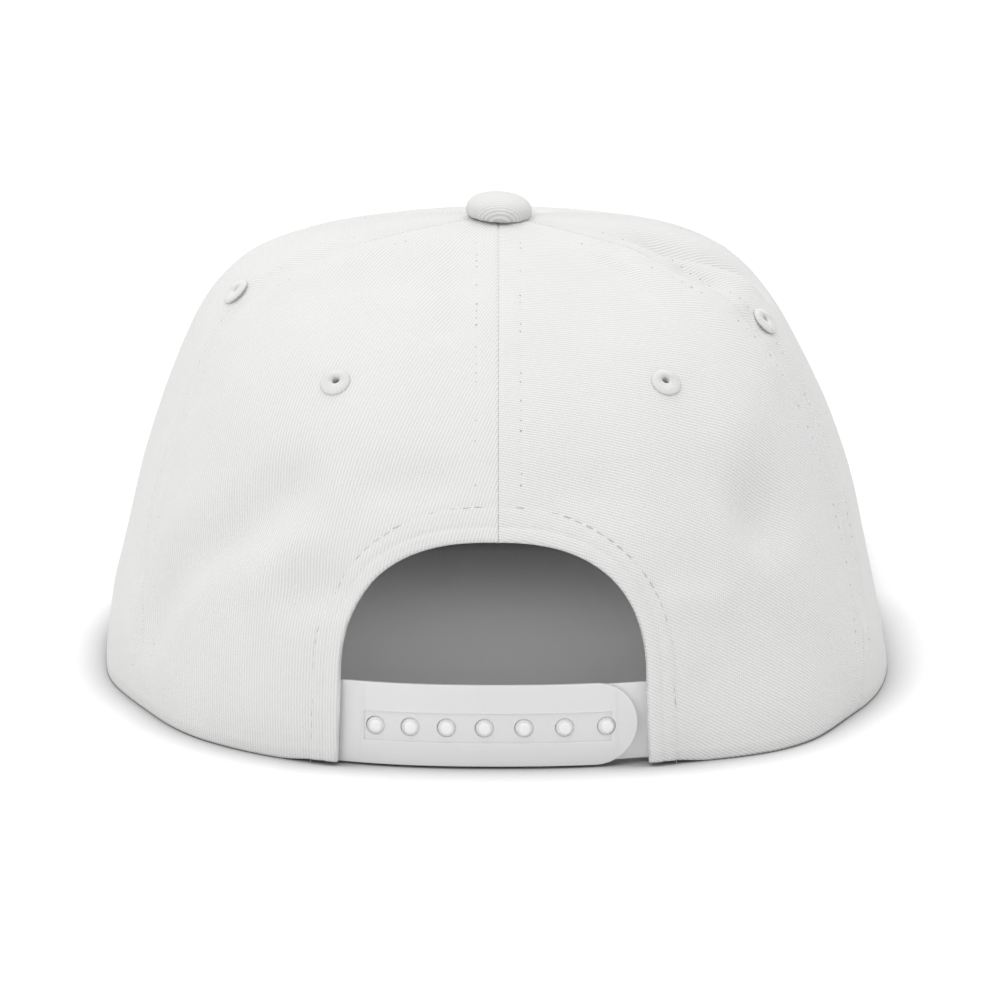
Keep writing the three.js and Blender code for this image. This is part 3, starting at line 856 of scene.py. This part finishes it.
def hemRelief(distance, along, points):
    width = hemWidth(points[:, 0])
    leg = 1 - smoothStep(points[:, 2], 18, 42)
    wave = ripple(np.stack([along, distance * 0.3, distance * 0], -1), arch["puckerSize"], 17)
    roll = arch["rollRaise"] * np.sin(np.pi * np.clip(distance / arch["rollWidth"], 0, 1)) ** 0.8
    height = arch["hemRaise"] + (arch["legRaise"] - arch["hemRaise"]) * leg
    raised = height * (1 - smoothStep(distance, width - 0.25, width + 0.25))
    inner = arch["innerDip"] * bell(distance, arch["innerAt"], 0.5) * (1 + 0.3 * wave)
    groove = arch["stitchDip"] * bell(distance, width, 0.45)
    pucker = arch["pucker"] * wave * bell(distance, arch["puckerAt"], arch["puckerWidth"])
    return roll + raised + pucker - inner - groove


def roundedEdge(distance, radius):
    inside = np.clip(radius - distance, 0, radius)
    return radius - np.sqrt(np.maximum(radius ** 2 - inside ** 2, 0))


def shapePanel(name, sheet, azimuth, t, outside, lines, middle, material, node):
    # The second half of the vertices is the inner sheet, in the same order as the outer one
    count = len(azimuth) // 2
    points = clothPoint(azimuth[:count], t[:count], 0.0)
    relief = np.zeros(count)
    inner = np.zeros(count)
    for kind, line in lines:
        distance, along = nearLine(points, line)
        if kind in seams:
            relief += seamRelief(distance, along, seams[kind], len(line))
        elif kind == "hem":
            relief += hemRelief(distance, along, points) - roundedEdge(distance, arch["edgeRound"])
            inner += roundedEdge(distance, arch["innerRound"])
        else:
            roll = panel["rimRoll"] * bell(distance, panel["rimRollAt"], 1)
            relief += roll - roundedEdge(distance, panel["rimRound"])
            inner += roundedEdge(distance, panel["innerRound"])
    relief += panel["unevenness"] * ripple(points, panel["unevenSize"], 5)
    height = np.concatenate([relief, inner - crown["cloth"]])
    places = clothPoint(azimuth, t, height)
    # The rim stands a little off the floor next to the arch
    nearFoot = 1 - smoothStep(np.abs(places[:, 0] - arch["centre"]), *panel["footReach"])
    low = 1 - smoothStep(places[:, 2], 0, panel["footHeight"])
    places[:, 2] += panel["footLift"] * nearFoot * (places[:, 1] < 0) * low
    placeVerts(sheet, places)
    writeClothMap(sheet, clothSpot(azimuth, t, middle))
    sharpenWalls(sheet, outside)
    return finishPiece(name, sheet, material, [node])


def seamLine(seamAt):
    t = np.linspace(0, topRing - 0.1, 170)
    return clothPoint(seamAt(t), t, 0.0)


def rimLine(start, end):
    azimuth = np.linspace(start, end, 130)
    return clothPoint(azimuth, np.zeros(130), 0.0)


def gorePanel(name, node, columns, fromSeam, toSeam, looks, material):
    sheet = doubleSheet(columns, panel["rows"])
    u, v, outside = readGrid(sheet)
    t = crown["tipRing"] * bunchedLow(v)
    spot = shellPoint(fromSeam(t), t)
    clearance = np.degrees(crown["seamGap"] / 2 / np.hypot(spot[:, 0], spot[:, 1]))
    start = fromSeam(t) + clearance
    end = toSeam(t) - clearance
    azimuth = start + (end - start) * bunched(u)
    ends = float(fromSeam(0.0)), float(toSeam(0.0))
    lines = [
        (looks[0], seamLine(fromSeam)),
        (looks[1], seamLine(toSeam)),
        ("rim", rimLine(ends[0] - 3, ends[1] + 3)),
    ]
    return shapePanel(name, sheet, azimuth, t, outside, lines, sum(ends) / 2, material, node)


def flatten(azimuth, t):
    reach = topRing - t
    return np.stack([reach * np.sin(np.radians(azimuth)), -reach * np.cos(np.radians(azimuth))], -1)


def backPanel(name, node, side, material):
    # A patch blended between the rim, the arch, the centre seam and the side seam
    sheet = doubleSheet(panel["columnsBack"], panel["rows"])
    u, v, outside = readGrid(sheet)
    u = bunched(u)
    v = bunched(v, 0.6)
    sideSeam = seam("seamRight" if side > 0 else "seamLeft")
    tip = crown["tipRing"]
    samples = np.linspace(0, 1, 400)
    archAzimuth, archRing = archPlace(side, samples)
    footAzimuth = archAzimuth[0]
    crest = archRing[-1]
    turnAt = 13 / 14

    def rim(f):
        return flatten(footAzimuth + (sideSeam(0.0) - footAzimuth) * f, f * 0)

    def hem(f):
        # Read off between places that were worked out along the arch
        return flatten(np.interp(f, samples, archAzimuth), np.interp(f, samples, archRing))

    def seamUp(f):
        return flatten(sideSeam(tip * f), tip * f)

    def centre(f):
        climb = np.minimum(f / turnAt, 1)
        around = np.clip((f - turnAt) / (1 - turnAt), 0, 1)
        return flatten(sideSeam(tip) * around, crest + (tip - crest) * climb)

    start = np.zeros(1)
    end = np.ones(1)
    corner = {"foot": rim(start), "hip": rim(end), "crest": centre(start), "tip": centre(end)}
    uu = u[:, None]
    vv = v[:, None]
    spot = rim(u) * (1 - vv) + centre(u) * vv + hem(v) * (1 - uu) + seamUp(v) * uu
    spot = spot - corner["foot"] * (1 - uu) * (1 - vv) - corner["hip"] * uu * (1 - vv)
    spot = spot - corner["crest"] * (1 - uu) * vv - corner["tip"] * uu * vv
    azimuth = side * np.degrees(np.arctan2(spot[:, 0], -spot[:, 1]))
    t = topRing - np.hypot(spot[:, 0], spot[:, 1])
    t = np.where(t < 1e-6, 0, t)
    footSide = side * footAzimuth
    hipSide = side * float(sideSeam(0.0))
    lines = [
        ("right" if side > 0 else "left", seamLine(lambda ring: side * sideSeam(ring))),
        ("centre", clothPoint(np.zeros(100), np.linspace(crest - 0.02, topRing - 0.1, 100), 0.0)),
        ("hem", clothPoint(side * archAzimuth[::2], archRing[::2], 0.0)),
        ("rim", rimLine(footSide, hipSide + 3 * side)),
    ]
    return shapePanel(name, sheet, azimuth, t, outside, lines, side * 36, material, node)


# The ribs of each panel's cloth run at an angle of their own
cloths = {place: twillMaterial("twill" + place, angle) for place, angle in panel["angles"].items()}

gorePanel(
    "front_cloth", "front_panel", panel["columnsFront"], seam("seamFront"), aroundSeam("seamFront"),
    ("front", "front"), cloths["Front"],
)
sideRight = gorePanel(
    "side_cloth_right", "side_panel_right", panel["columnsSide"], seam("seamRight"), seam("seamFront"),
    ("right", "front"), cloths["SideRight"],
)
sideLeft = gorePanel(
    "side_cloth_left", "side_panel_left", panel["columnsSide"], seam("seamFront", -1), seam("seamLeft", -1),
    ("front", "left"), cloths["SideLeft"],
)
backRight = backPanel("back_cloth_right", "back_panel_right", 1, cloths["BackRight"])
backLeft = backPanel("back_cloth_left", "back_panel_left", -1, cloths["BackLeft"])
print("crown panels ready")


# Stitches on the crown

crownStitches = []
holeShadeBeads = []
rowRings = np.linspace(0.08, stitches["topRing"], 200)
seamPaths = (
    ("right", ringAt(rowRings)["seamRight"], rowRings),
    ("left", -ringAt(rowRings)["seamLeft"], rowRings),
    ("front", ringAt(rowRings)["seamFront"], rowRings),
    ("front", -ringAt(rowRings)["seamFront"], rowRings),
    ("centre", np.zeros(120), np.linspace(4.5, stitches["topRing"], 120)),
)
for number, (name, rowAzimuth, rowRing) in enumerate(seamPaths):
    look = seams[name]
    for sign in (-1, 1):
        besideAzimuth, besideRing = offsetPath(rowAzimuth, rowRing, sign * panel["topstitchAt"])
        keep = (besideRing > 0.05) & (besideRing < stitches["topRing"] - 0.05)
        lift = look["thread"] - look["dip"]
        shadeBeadSize = (look["hole"], look["hole"])
        stitchCloth(besideAzimuth[keep], besideRing[keep], 40 + 2 * number + sign, lift, shadeBeadSize)

for side in (1, -1):
    hemAzimuth, hemRing = archPlace(side, np.linspace(0.012, 0.999, 240))
    hemX = clothPoint(side * hemAzimuth, hemRing, 0.0)[:, 0]
    besideAzimuth, besideRing = offsetPath(side * hemAzimuth, hemRing, -side * hemWidth(hemX)[:, None])
    keep = np.abs(besideAzimuth) > 0.3
    # The long thin dark beads beside the hem's thread are its painted shadow
    stitchCloth(besideAzimuth[keep], besideRing[keep], 70 + side, arch["thread"], (0.9, 0.08))
sewStitches("crown_stitches", crownStitches)
# The beads at the needle holes and beside the hem thread take a dark tone: painted shade
paintedShadeMaterial = threadMaterial("paintedShadeMaterial", (0.42, 0.42, 0.415))
sewStitches("painted_hole_shade", holeShadeBeads, paintedShadeMaterial)
print("crown stitches ready")


# Stitched eyelets

eyelet = {
    "places": {
        "eyelet_back_left": (-31.1, 6.09),
        "eyelet_back_right": (32, 6.08),
        "eyelet_side_left": (-75.9, 7.22),
        "eyelet_side_right": (68, 6.64),
    },
    "radius": 3.25,
    "bore": 0.8,
    "collar": 1.45,
    "hole": 1.5,
    "rise": 0.85,
    "threads": 34,
    "threadDepth": 0.09,
    "unevenness": 0.05,
    "lean": 0.5,
}


def eyeletShape():
    inside = -crown["cloth"] - 0.55
    profile = [
        (eyelet["bore"], inside), (eyelet["bore"], 0.25), (eyelet["bore"] + 0.25, 0.68),
        (eyelet["bore"] + 0.75, eyelet["rise"]), (2.15, eyelet["rise"]), (2.7, 0.68), (3.05, 0.38),
        (eyelet["radius"], -0.05), (2.9, -0.22), (eyelet["collar"], -0.25),
        (eyelet["collar"], inside + 0.25), (2.7, inside + 0.2), (2.75, inside),
    ]
    ring = spinProfile(profile, eyelet["threads"] * 4, closed=True)
    chance = np.random.default_rng(8)
    uneven = chance.uniform(-0.3, 0.3, eyelet["threads"] + 1)
    for vert in ring.verts:
        radius = math.hypot(vert.co.x, vert.co.y)
        turn = math.atan2(vert.co.y, vert.co.x) / (2 * math.pi) * eyelet["threads"]
        if vert.co.z > -0.0001:
            swell = eyelet["threadDepth"] * math.cos(2 * math.pi * turn)
            swell += eyelet["unevenness"] * uneven[int(turn) % eyelet["threads"]]
            vert.co.z += swell * mm
            share = 1 + swell * mm * 0.5 / radius
            vert.co.x *= share
            # The hole sits above the ring's middle, as more thread is wound below it
            inwards = 1 - min(radius / (eyelet["radius"] * mm), 1)
            vert.co.y = vert.co.y * share + eyelet["lean"] * inwards * mm
    return ring


eyeletThread = threadMaterial("eyeletThread", (0.76, 0.76, 0.755))
eyeletPanels = {
    "eyelet_back_left": backLeft,
    "eyelet_back_right": backRight,
    "eyelet_side_left": sideLeft,
    "eyelet_side_right": sideRight,
}
for node, (azimuth, t) in eyelet["places"].items():
    drill(eyeletPanels[node], eyelet["hole"] * mm, 8 * mm, 24, placeMatrix(azimuth, t))
    ring = eyeletShape()
    bmesh.ops.transform(ring, matrix=placeMatrix(azimuth, t, 0.05), verts=ring.verts[:])
    finishPiece(node.replace("eyelet", "wound_eyelet"), ring, eyeletThread, [node])
print("eyelets ready")


# Covered button on the top

button = {
    "radius": 7.15,
    "squash": 0.93,
    "height": 5.3,
    "place": (0, -0.9, 97.4),
    "tilt": 1.8,
    "roll": 3.5,
    "widest": 1.9,
    "stemRadius": 1.3,
    "stemDrop": 2.5,
    "tucks": 14,
    "tuckDepth": 0.13,
    "cloth": {
        # A darker groove tone than elsewhere: stronger painted shade in the rings of the cover
        "light": (0.76, 0.76, 0.755), "groove": (0.49, 0.49, 0.485),
        "pitch": 0.66, "smoothFrom": (4.5, 8.5),
    },
}


def buttonShape():
    foot = -button["stemDrop"]
    stem = button["stemRadius"]
    edge = button["radius"]
    profile = [
        (0, foot - 0.8), (4.5, foot - 0.8), (4.6, foot - 0.4), (4.5, foot), (stem, foot), (stem, 0.6),
        (edge - 1.6, 0.35), (edge - 0.9, 0.05), (edge - 0.45, 0.25), (edge - 0.15, 0.8), (edge, 1.3),
    ]
    for step in range(1, 15):
        angle = math.pi / 2 * step / 15
        radius = button["radius"] * math.cos(angle) ** 0.8
        profile.append((radius, button["widest"] + (button["height"] - button["widest"]) * math.sin(angle)))
    profile.append((0, button["height"]))
    shape = spinProfile(profile, 112)
    shape.verts.index_update()
    places = np.array([vert.co[:] for vert in shape.verts]) / mm
    radius = np.hypot(places[:, 0], places[:, 1])
    turn = np.arctan2(places[:, 1], places[:, 0])
    # Small tucks where the cover is gathered under the button
    tuck = np.cos(button["tucks"] * turn + 1.3 * np.sin(3 * turn)) * bell(places[:, 2], 0.2, 1.5)
    tuck *= (radius > 4) & (places[:, 2] > -1)
    share = 1 + button["tuckDepth"] * tuck / np.maximum(radius, 1)
    places[:, 0] *= share
    places[:, 1] *= share * button["squash"]
    # The cover's millimetres, measured from the middle of the dome
    drop = np.clip(button["height"] - places[:, 2], 0, None)
    reach = np.hypot(radius, drop) + 0.2 * drop
    spots = np.stack([reach * np.cos(turn), reach * np.sin(turn)], -1)
    writeClothMap(shape, spots)
    placeVerts(shape, places)
    rolled = Matrix.Rotation(math.radians(button["roll"]), 4, "Y")
    tilted = Matrix.Rotation(math.radians(button["tilt"]), 4, "X")
    place = Matrix.Translation([value * mm for value in button["place"]])
    bmesh.ops.transform(shape, matrix=place @ (rolled @ tilted), verts=shape.verts[:])
    return shape


clothButton = twillMaterial("twillButton", 3, **button["cloth"])
finishPiece("covered_button", buttonShape(), clothButton, ["top_button"])
print("button ready")


# Snap strap: each tab is made flat, as x, height and depth, and then bent round the crown's back

strap = {
    "bottom": 0.65,
    "top": 17.95,
    "thickness": 1.2,
    "depth": 2.0,
    "gap": 0.3,
    "left": -48.4,
    "right": 46.4,
    "tip": 29.2,
    "softEdge": 0.14,
    "softInner": 0.25,
    "channel": {"left": -28.3, "right": 23.8, "height": 6.4, "depth": 0.3},
    "holes": 7,
    "firstHole": -25.9,
    "holePitch": 7.35,
    "pitchGrowth": 0.3,
    "holeHeight": 8.75,
    "holeRadius": 2.0,
    "pegRadius": 1.3,
    "pegProud": 0.25,
    "pegShift": (0.15, -0.1),
    "pegShoulder": 2.02,
    "pegShoulderDrop": 0.42,
    "pegTabInset": 0.45,
    "pegTabLeft": -30,
    "bendCuts": 90,
}
holeHeight = strap["holeHeight"]
# How deep under the crown's surface the inner tab lies
innerDepth = strap["depth"] + strap["thickness"] + strap["gap"]


def holeSpot(k):
    # The holes are a little further apart from one to the next
    return strap["firstHole"] + strap["holePitch"] * k + strap["pitchGrowth"] * k * (k - 1) / 2


holeSpots = [holeSpot(k) for k in range(strap["holes"])]


def bendStrap(shape, depthAt):
    flat = np.array([vert.co[:] for vert in shape.verts])
    azimuth, t = surfaceAt(flat[:, 0], flat[:, 1])
    placeVerts(shape, dentedPoint(azimuth, t, flat[:, 2] - depthAt(flat[:, 0])))


def flatPlate(outline, thickness):
    plate = bmesh.new()
    face = plate.faces.new([plate.verts.new((x, height, 0)) for x, height in outline])
    bmesh.ops.recalc_face_normals(plate, faces=[face])
    raised = bmesh.ops.extrude_face_region(plate, geom=[face])["geom"]
    lifted = [item for item in raised if isinstance(item, bmesh.types.BMVert)]
    bmesh.ops.translate(plate, verts=lifted, vec=(0, 0, -thickness))
    bmesh.ops.recalc_face_normals(plate, faces=plate.faces[:])
    return plate


def soften(piece, width, segments, angle):
    soft = piece.modifiers.new("soft", "BEVEL")
    soft.width = width
    soft.segments = segments
    soft.limit_method = "ANGLE"
    soft.angle_limit = math.radians(angle)
    applyModifiers(piece)


def finishTab(name, shape, material, node):
    tab = finishPiece(name, shape, material, [node])
    even = tab.modifiers.new("even", "WEIGHTED_NORMAL")
    even.keep_sharp = True


def takeBack(piece):
    shape = bmesh.new()
    shape.from_mesh(piece.data)
    bpy.data.objects.remove(piece)
    return shape


def cutColumns(shape, left, right, count):
    for x in np.linspace(left, right, count):
        everything = shape.verts[:] + shape.edges[:] + shape.faces[:]
        bmesh.ops.bisect_plane(shape, geom=everything, dist=1e-5, plane_co=(x, 0, 0), plane_no=(1, 0, 0))


def holeTab():
    radius = (strap["top"] - strap["bottom"]) / 2
    middleHeight = (strap["top"] + strap["bottom"]) / 2
    centre = strap["tip"] - radius
    outline = [(strap["left"], strap["top"]), (strap["left"], strap["bottom"])]
    for step in range(33):
        angle = math.pi * step / 32
        outline.append((centre + radius * math.sin(angle), middleHeight - radius * math.cos(angle)))
    piece = linkObject("plate", meshFrom("plate", flatPlate(outline, strap["thickness"])))
    channel = strap["channel"]
    recess = bmesh.new()
    bmesh.ops.create_cube(recess, size=1)
    size = (channel["right"] - channel["left"], channel["height"], 2)
    bmesh.ops.scale(recess, verts=recess.verts[:], vec=size)
    middle = ((channel["right"] + channel["left"]) / 2, holeHeight, 1 - channel["depth"])
    bmesh.ops.translate(recess, verts=recess.verts[:], vec=middle)
    cutOut(piece, recess)
    for x in holeSpots:
        drill(piece, strap["holeRadius"], 6, 32, Matrix.Translation((x, holeHeight, 0)))
    soften(piece, strap["softEdge"], 2, 50)
    shape = takeBack(piece)
    cutColumns(shape, strap["left"] + 0.5, strap["tip"] - 0.5, strap["bendCuts"])
    bendStrap(shape, lambda x: strap["depth"] + x * 0)
    finishTab("strap_hole_tab", shape, strapPlastic, "hole_tab")


def pegTab():
    low = strap["bottom"] + strap["pegTabInset"]
    high = strap["top"] - strap["pegTabInset"]
    left = strap["pegTabLeft"]
    outline = [(left, high), (left, low), (strap["right"], low), (strap["right"], high)]
    piece = linkObject("plate", meshFrom("plate", flatPlate(outline, strap["thickness"])))
    soften(piece, strap["softInner"], 3, 30)
    shape = takeBack(piece)
    cutColumns(shape, left + 0.5, strap["right"] - 0.5, 110)
    outer = strap["depth"]

    def depthAt(x):
        return innerDepth + (outer - innerDepth) * smoothStep(x, strap["tip"] + 0.6, strap["tip"] + 6.5)

    bendStrap(shape, depthAt)
    # Pegs: a shoulder low in each hole, and a domed head that stands just out of it
    head = strap["pegRadius"]
    shoulder = strap["pegShoulder"]
    drop = strap["pegShoulderDrop"]
    proud = strap["pegProud"]
    profile = [
        (0, -innerDepth - 0.5), (shoulder, -innerDepth - 0.5), (shoulder, -outer - drop),
        (head + 0.12, -outer - drop + 0.02), (head, -outer - drop + 0.15), (head, -outer),
        (head - 0.12, proud - outer - 0.05), (head - 0.4, proud - outer), (0, proud - outer + 0.06),
    ]
    for x in holeSpots:
        azimuth, t = surfaceAt(x + strap["pegShift"][0], holeHeight + strap["pegShift"][1])
        azimuth, t = float(azimuth), float(t)
        peg = spinProfile(profile, 32)
        bmesh.ops.recalc_face_normals(peg, faces=peg.faces[:])
        place = placeMatrix(azimuth, t)
        place.translation = Vector(dentedPoint(azimuth, t, 0.0) * mm)
        bmesh.ops.transform(peg, matrix=place, verts=peg.verts[:])
        mesh = meshFrom("peg", peg)
        shape.from_mesh(mesh)
        bpy.data.meshes.remove(mesh)
    # The peg tab takes the lighter plastic, painted light against the shade under the hole tab
    finishTab("strap_peg_tab", shape, pegPaintedLightPlastic, "peg_tab")


holeTab()
pegTab()
print("strap ready")


# Bill: a stiff flat plate in its cloth cover, with rows of stitching that follow its edge

bill = {
    "length": 70,
    "halfWidth": 85.6,
    "thickness": 3,
    "endAzimuth": 107,
    "endStep": 1.2,
    "widestAt": 85,
    "corner": (45, 157),
    "shoulder": 122,
    "pull": (74, 149),
    "ease": 18,
    "edgeRound": 1.35,
    "rows": 8,
    "firstRow": 4.0,
    "rowPitch": 6.6,
    "rowDip": 0.16,
    "stitchPitch": 3.0,
    # The rows of stitches keep clear of the crown and stay outside an oval round its rim
    "rowClear": 3.5,
    "rimHalf": (88, 97),
    "rootLift": 0.12,
    "columns": 200,
    "ranks": 70,
}


def bezier(start, pullStart, pullEnd, end, count):
    f = np.linspace(0, 1, count, endpoint=False)[:, None]
    start, pullStart, pullEnd, end = (np.array(point, float) for point in (start, pullStart, pullEnd, end))
    firstHalf = start * (1 - f) ** 3 + 3 * pullStart * f * (1 - f) ** 2
    return firstHalf + 3 * pullEnd * f * f * (1 - f) + end * f ** 3


def billSide(sign):
    # From the right heel to the right front corner. With sign -1 it is the left side, mirrored.
    half = bill["halfWidth"]
    ease = bill["ease"]
    widest = bill["widestAt"]
    pull = bill["pull"]
    end = clothPoint(np.array([float(sign * bill["endAzimuth"])]), np.zeros(1), 0.3)[0]
    heel = (sign * end[0] + bill["endStep"], end[1] + bill["endStep"])
    return np.concatenate([
        bezier(heel, (half, heel[1] + ease), (half, widest - ease), (half, widest), 60),
        bezier((half, widest), (half, bill["shoulder"]), pull, bill["corner"], 80),
    ])


def billOutline():
    # From the right heel round the front to the left heel
    cornerX, cornerY = bill["corner"]
    front = crown["rings"][0][3] + bill["length"]
    crest = front + (front - cornerY) / 3
    ease = bill["ease"]
    across = bezier((cornerX, cornerY), (ease, crest), (-ease, crest), (-cornerX, cornerY), 80)
    return np.concatenate([billSide(1), across, billSide(-1)[::-1] * (-1, 1)])


def onFloor(flat):
    return np.concatenate([flat, np.zeros((len(flat), 1))], axis=1)


def billShape():
    outline = billOutline()
    lengths = runLengths(outline)
    sheet = doubleSheet(bill["columns"], bill["ranks"])
    u, v, outside = readGrid(sheet)
    reach = bunched(v, 0.8)
    along = lengths[-1] * u
    edge = np.stack([np.interp(along, lengths, outline[:, k]) for k in range(2)], -1)
    azimuth = bill["endAzimuth"] + (360 - 2 * bill["endAzimuth"]) * u
    root = clothPoint(azimuth, np.zeros(len(azimuth)), bill["rootLift"])[:, :2]
    flat = root + (edge - root) * reach[:, None]
    place = onFloor(flat)
    distance, _ = nearLine(place, onFloor(outline))
    rootAzimuth = np.linspace(bill["endAzimuth"], 360 - bill["endAzimuth"], 240)
    rootLine = clothPoint(rootAzimuth, np.zeros(240), bill["rootLift"])
    fromRoot, _ = nearLine(place, rootLine)
    relief = np.zeros(len(flat))
    for row in range(bill["rows"]):
        at = bill["firstRow"] + bill["rowPitch"] * row
        relief -= bill["rowDip"] * bell(distance, at, 0.7) * smoothStep(fromRoot, 2, 5)
    relief += 0.03 * ripple(place, 11, 21) + 0.12 * bell(distance, 1.6, 1.3)
    rounded = roundedEdge(distance, bill["edgeRound"])
    top = bill["thickness"] + relief - rounded - 0.1
    bottom = np.maximum(-0.6 * relief + rounded, 0)
    places = np.stack([flat[:, 0], flat[:, 1], np.where(outside, top, bottom)], -1)
    writeClothMap(sheet, flat)
    placeVerts(sheet, places)
    sharpenWalls(sheet, outside)
    return sheet, outline, rootLine


clothBill = twillMaterial("twillBill", 45)
billSheet, billEdge, billRoot = billShape()
finishPiece("bill_cover", billSheet, clothBill, ["bill"])

billStitches = []
edgeAlong = unit(np.gradient(billEdge, axis=0))
edgeInward = np.stack([-edgeAlong[:, 1], edgeAlong[:, 0]], -1)
for row in range(bill["rows"]):
    rowPath = onFloor(billEdge + edgeInward * (bill["firstRow"] + bill["rowPitch"] * row))
    fromRoot, _ = nearLine(rowPath, billRoot)
    outside = np.hypot(rowPath[:, 0] / bill["rimHalf"][0], rowPath[:, 1] / bill["rimHalf"][1]) > 1
    shown = (fromRoot > bill["rowClear"]) & outside
    for run in np.split(np.arange(len(shown)), np.flatnonzero(np.diff(shown)) + 1):
        if not shown[run[0]] or len(run) < 5:
            continue
        for height, facing in ((bill["thickness"] - 0.2, 1), (0.26, -1)):
            raised = rowPath[run] + (0, 0, height)
            normals = np.tile((0.0, 0.0, facing), (len(raised), 1))
            stitchAlong(billStitches, raised, normals, 90 + row, pitch=bill["stitchPitch"])
sewStitches("bill_stitches", billStitches)
print("bill ready")


# Sweatband inside the rim

band = {
    "start": 22.5,
    "height": 30,
    "bottom": 0.5,
    "thickness": 1.2,
    "stepFrom": 31,
    "stepTo": 37,
    "rowDrop": 3.2,
    "stitchPitch": 3.0,
    "cloth": {"light": (0.7, 0.7, 0.69), "groove": (0.61, 0.61, 0.6), "pitch": 0.8},
    "columns": 320,
    "rows": 36,
}


def bandPlace(azimuth, height, depthIn):
    fromBack = np.minimum(azimuth, 360 - azimuth)
    step = smoothStep(fromBack, band["stepFrom"], band["stepTo"])
    depth = innerDepth + (strap["depth"] - innerDepth) * step
    t = height / shellPoint(azimuth, np.ones(len(azimuth)))[:, 2]
    return clothPoint(azimuth, t, -depth - depthIn), t


def bandShape():
    sheet = doubleSheet(band["columns"], band["rows"])
    u, v, outside = readGrid(sheet)
    azimuth = band["start"] + (360 - 2 * band["start"]) * u
    rise = bunched(v, 0.75)
    height = band["bottom"] + (band["height"] - band["bottom"]) * rise
    fromTop = band["height"] - height
    fromBottom = height - band["bottom"]
    rounding = roundedEdge(fromTop, 0.55) + roundedEdge(fromBottom, 0.4)
    around = lookUp(aroundMap, np.where(azimuth > 180, 360 - azimuth, azimuth), np.zeros(len(azimuth)))
    wave = ripple(np.stack([around, height, height * 0], -1), 14, 31)
    depthIn = np.where(outside, rounding, band["thickness"] - rounding + 0.05 * wave)
    depthIn = depthIn - np.where(outside, 0, 0.18 * bell(fromTop, band["rowDrop"], 0.5))
    places, _ = bandPlace(azimuth, height, depthIn)
    span = np.where(azimuth > 180, -around, around)
    writeClothMap(sheet, np.stack([span, height], -1))
    placeVerts(sheet, places)
    sharpenWalls(sheet, outside)
    return sheet


clothBand = twillMaterial("twillBand", 0, **band["cloth"])
finishPiece("inner_band", bandShape(), clothBand, ["sweatband"])

bandStitches = []
bandAzimuth = np.linspace(band["start"] + 2, 360 - band["start"] - 2, 700)
rowHeight = np.full(700, band["height"] - band["rowDrop"])
rowDepth = np.full(700, band["thickness"] - 0.1)
bandRow, bandRings = bandPlace(bandAzimuth, rowHeight, rowDepth)
stitchAlong(bandStitches, bandRow, -shellNormal(bandAzimuth, bandRings), 120, pitch=band["stitchPitch"])
sewStitches("band_stitches", bandStitches)
print("sweatband ready")


# Floor

floorShape = bmesh.new()
bmesh.ops.create_grid(floorShape, x_segments=2, y_segments=2, size=6)
floor = linkObject("floor", meshFrom("floor", floorShape))
floorMaterial, floorTree, floorShader = newMaterial("whiteFloor", roughness=0.9, specular=0.1)
# A painted contact shadow: the floor's colour is darker where the cap stands close over it
contact = addNode(floorTree, "ShaderNodeAmbientOcclusion", Distance=view["contactReach"])
openShare = mathNode(floorTree, "SUBTRACT", mathNode(floorTree, "MULTIPLY", contact.outputs["AO"], 2), 1)
openShare = mathNode(floorTree, "POWER", mathNode(floorTree, "MAXIMUM", openShare, 0), 0.6)
floorTones = [(view[name],) * 3 for name in ("paintedShadowTone", "floorTone")]
floorTree.links.new(mixTones(floorTree, openShare, *floorTones), floorShader.inputs["Base Color"])
floor.data.materials.append(floorMaterial)
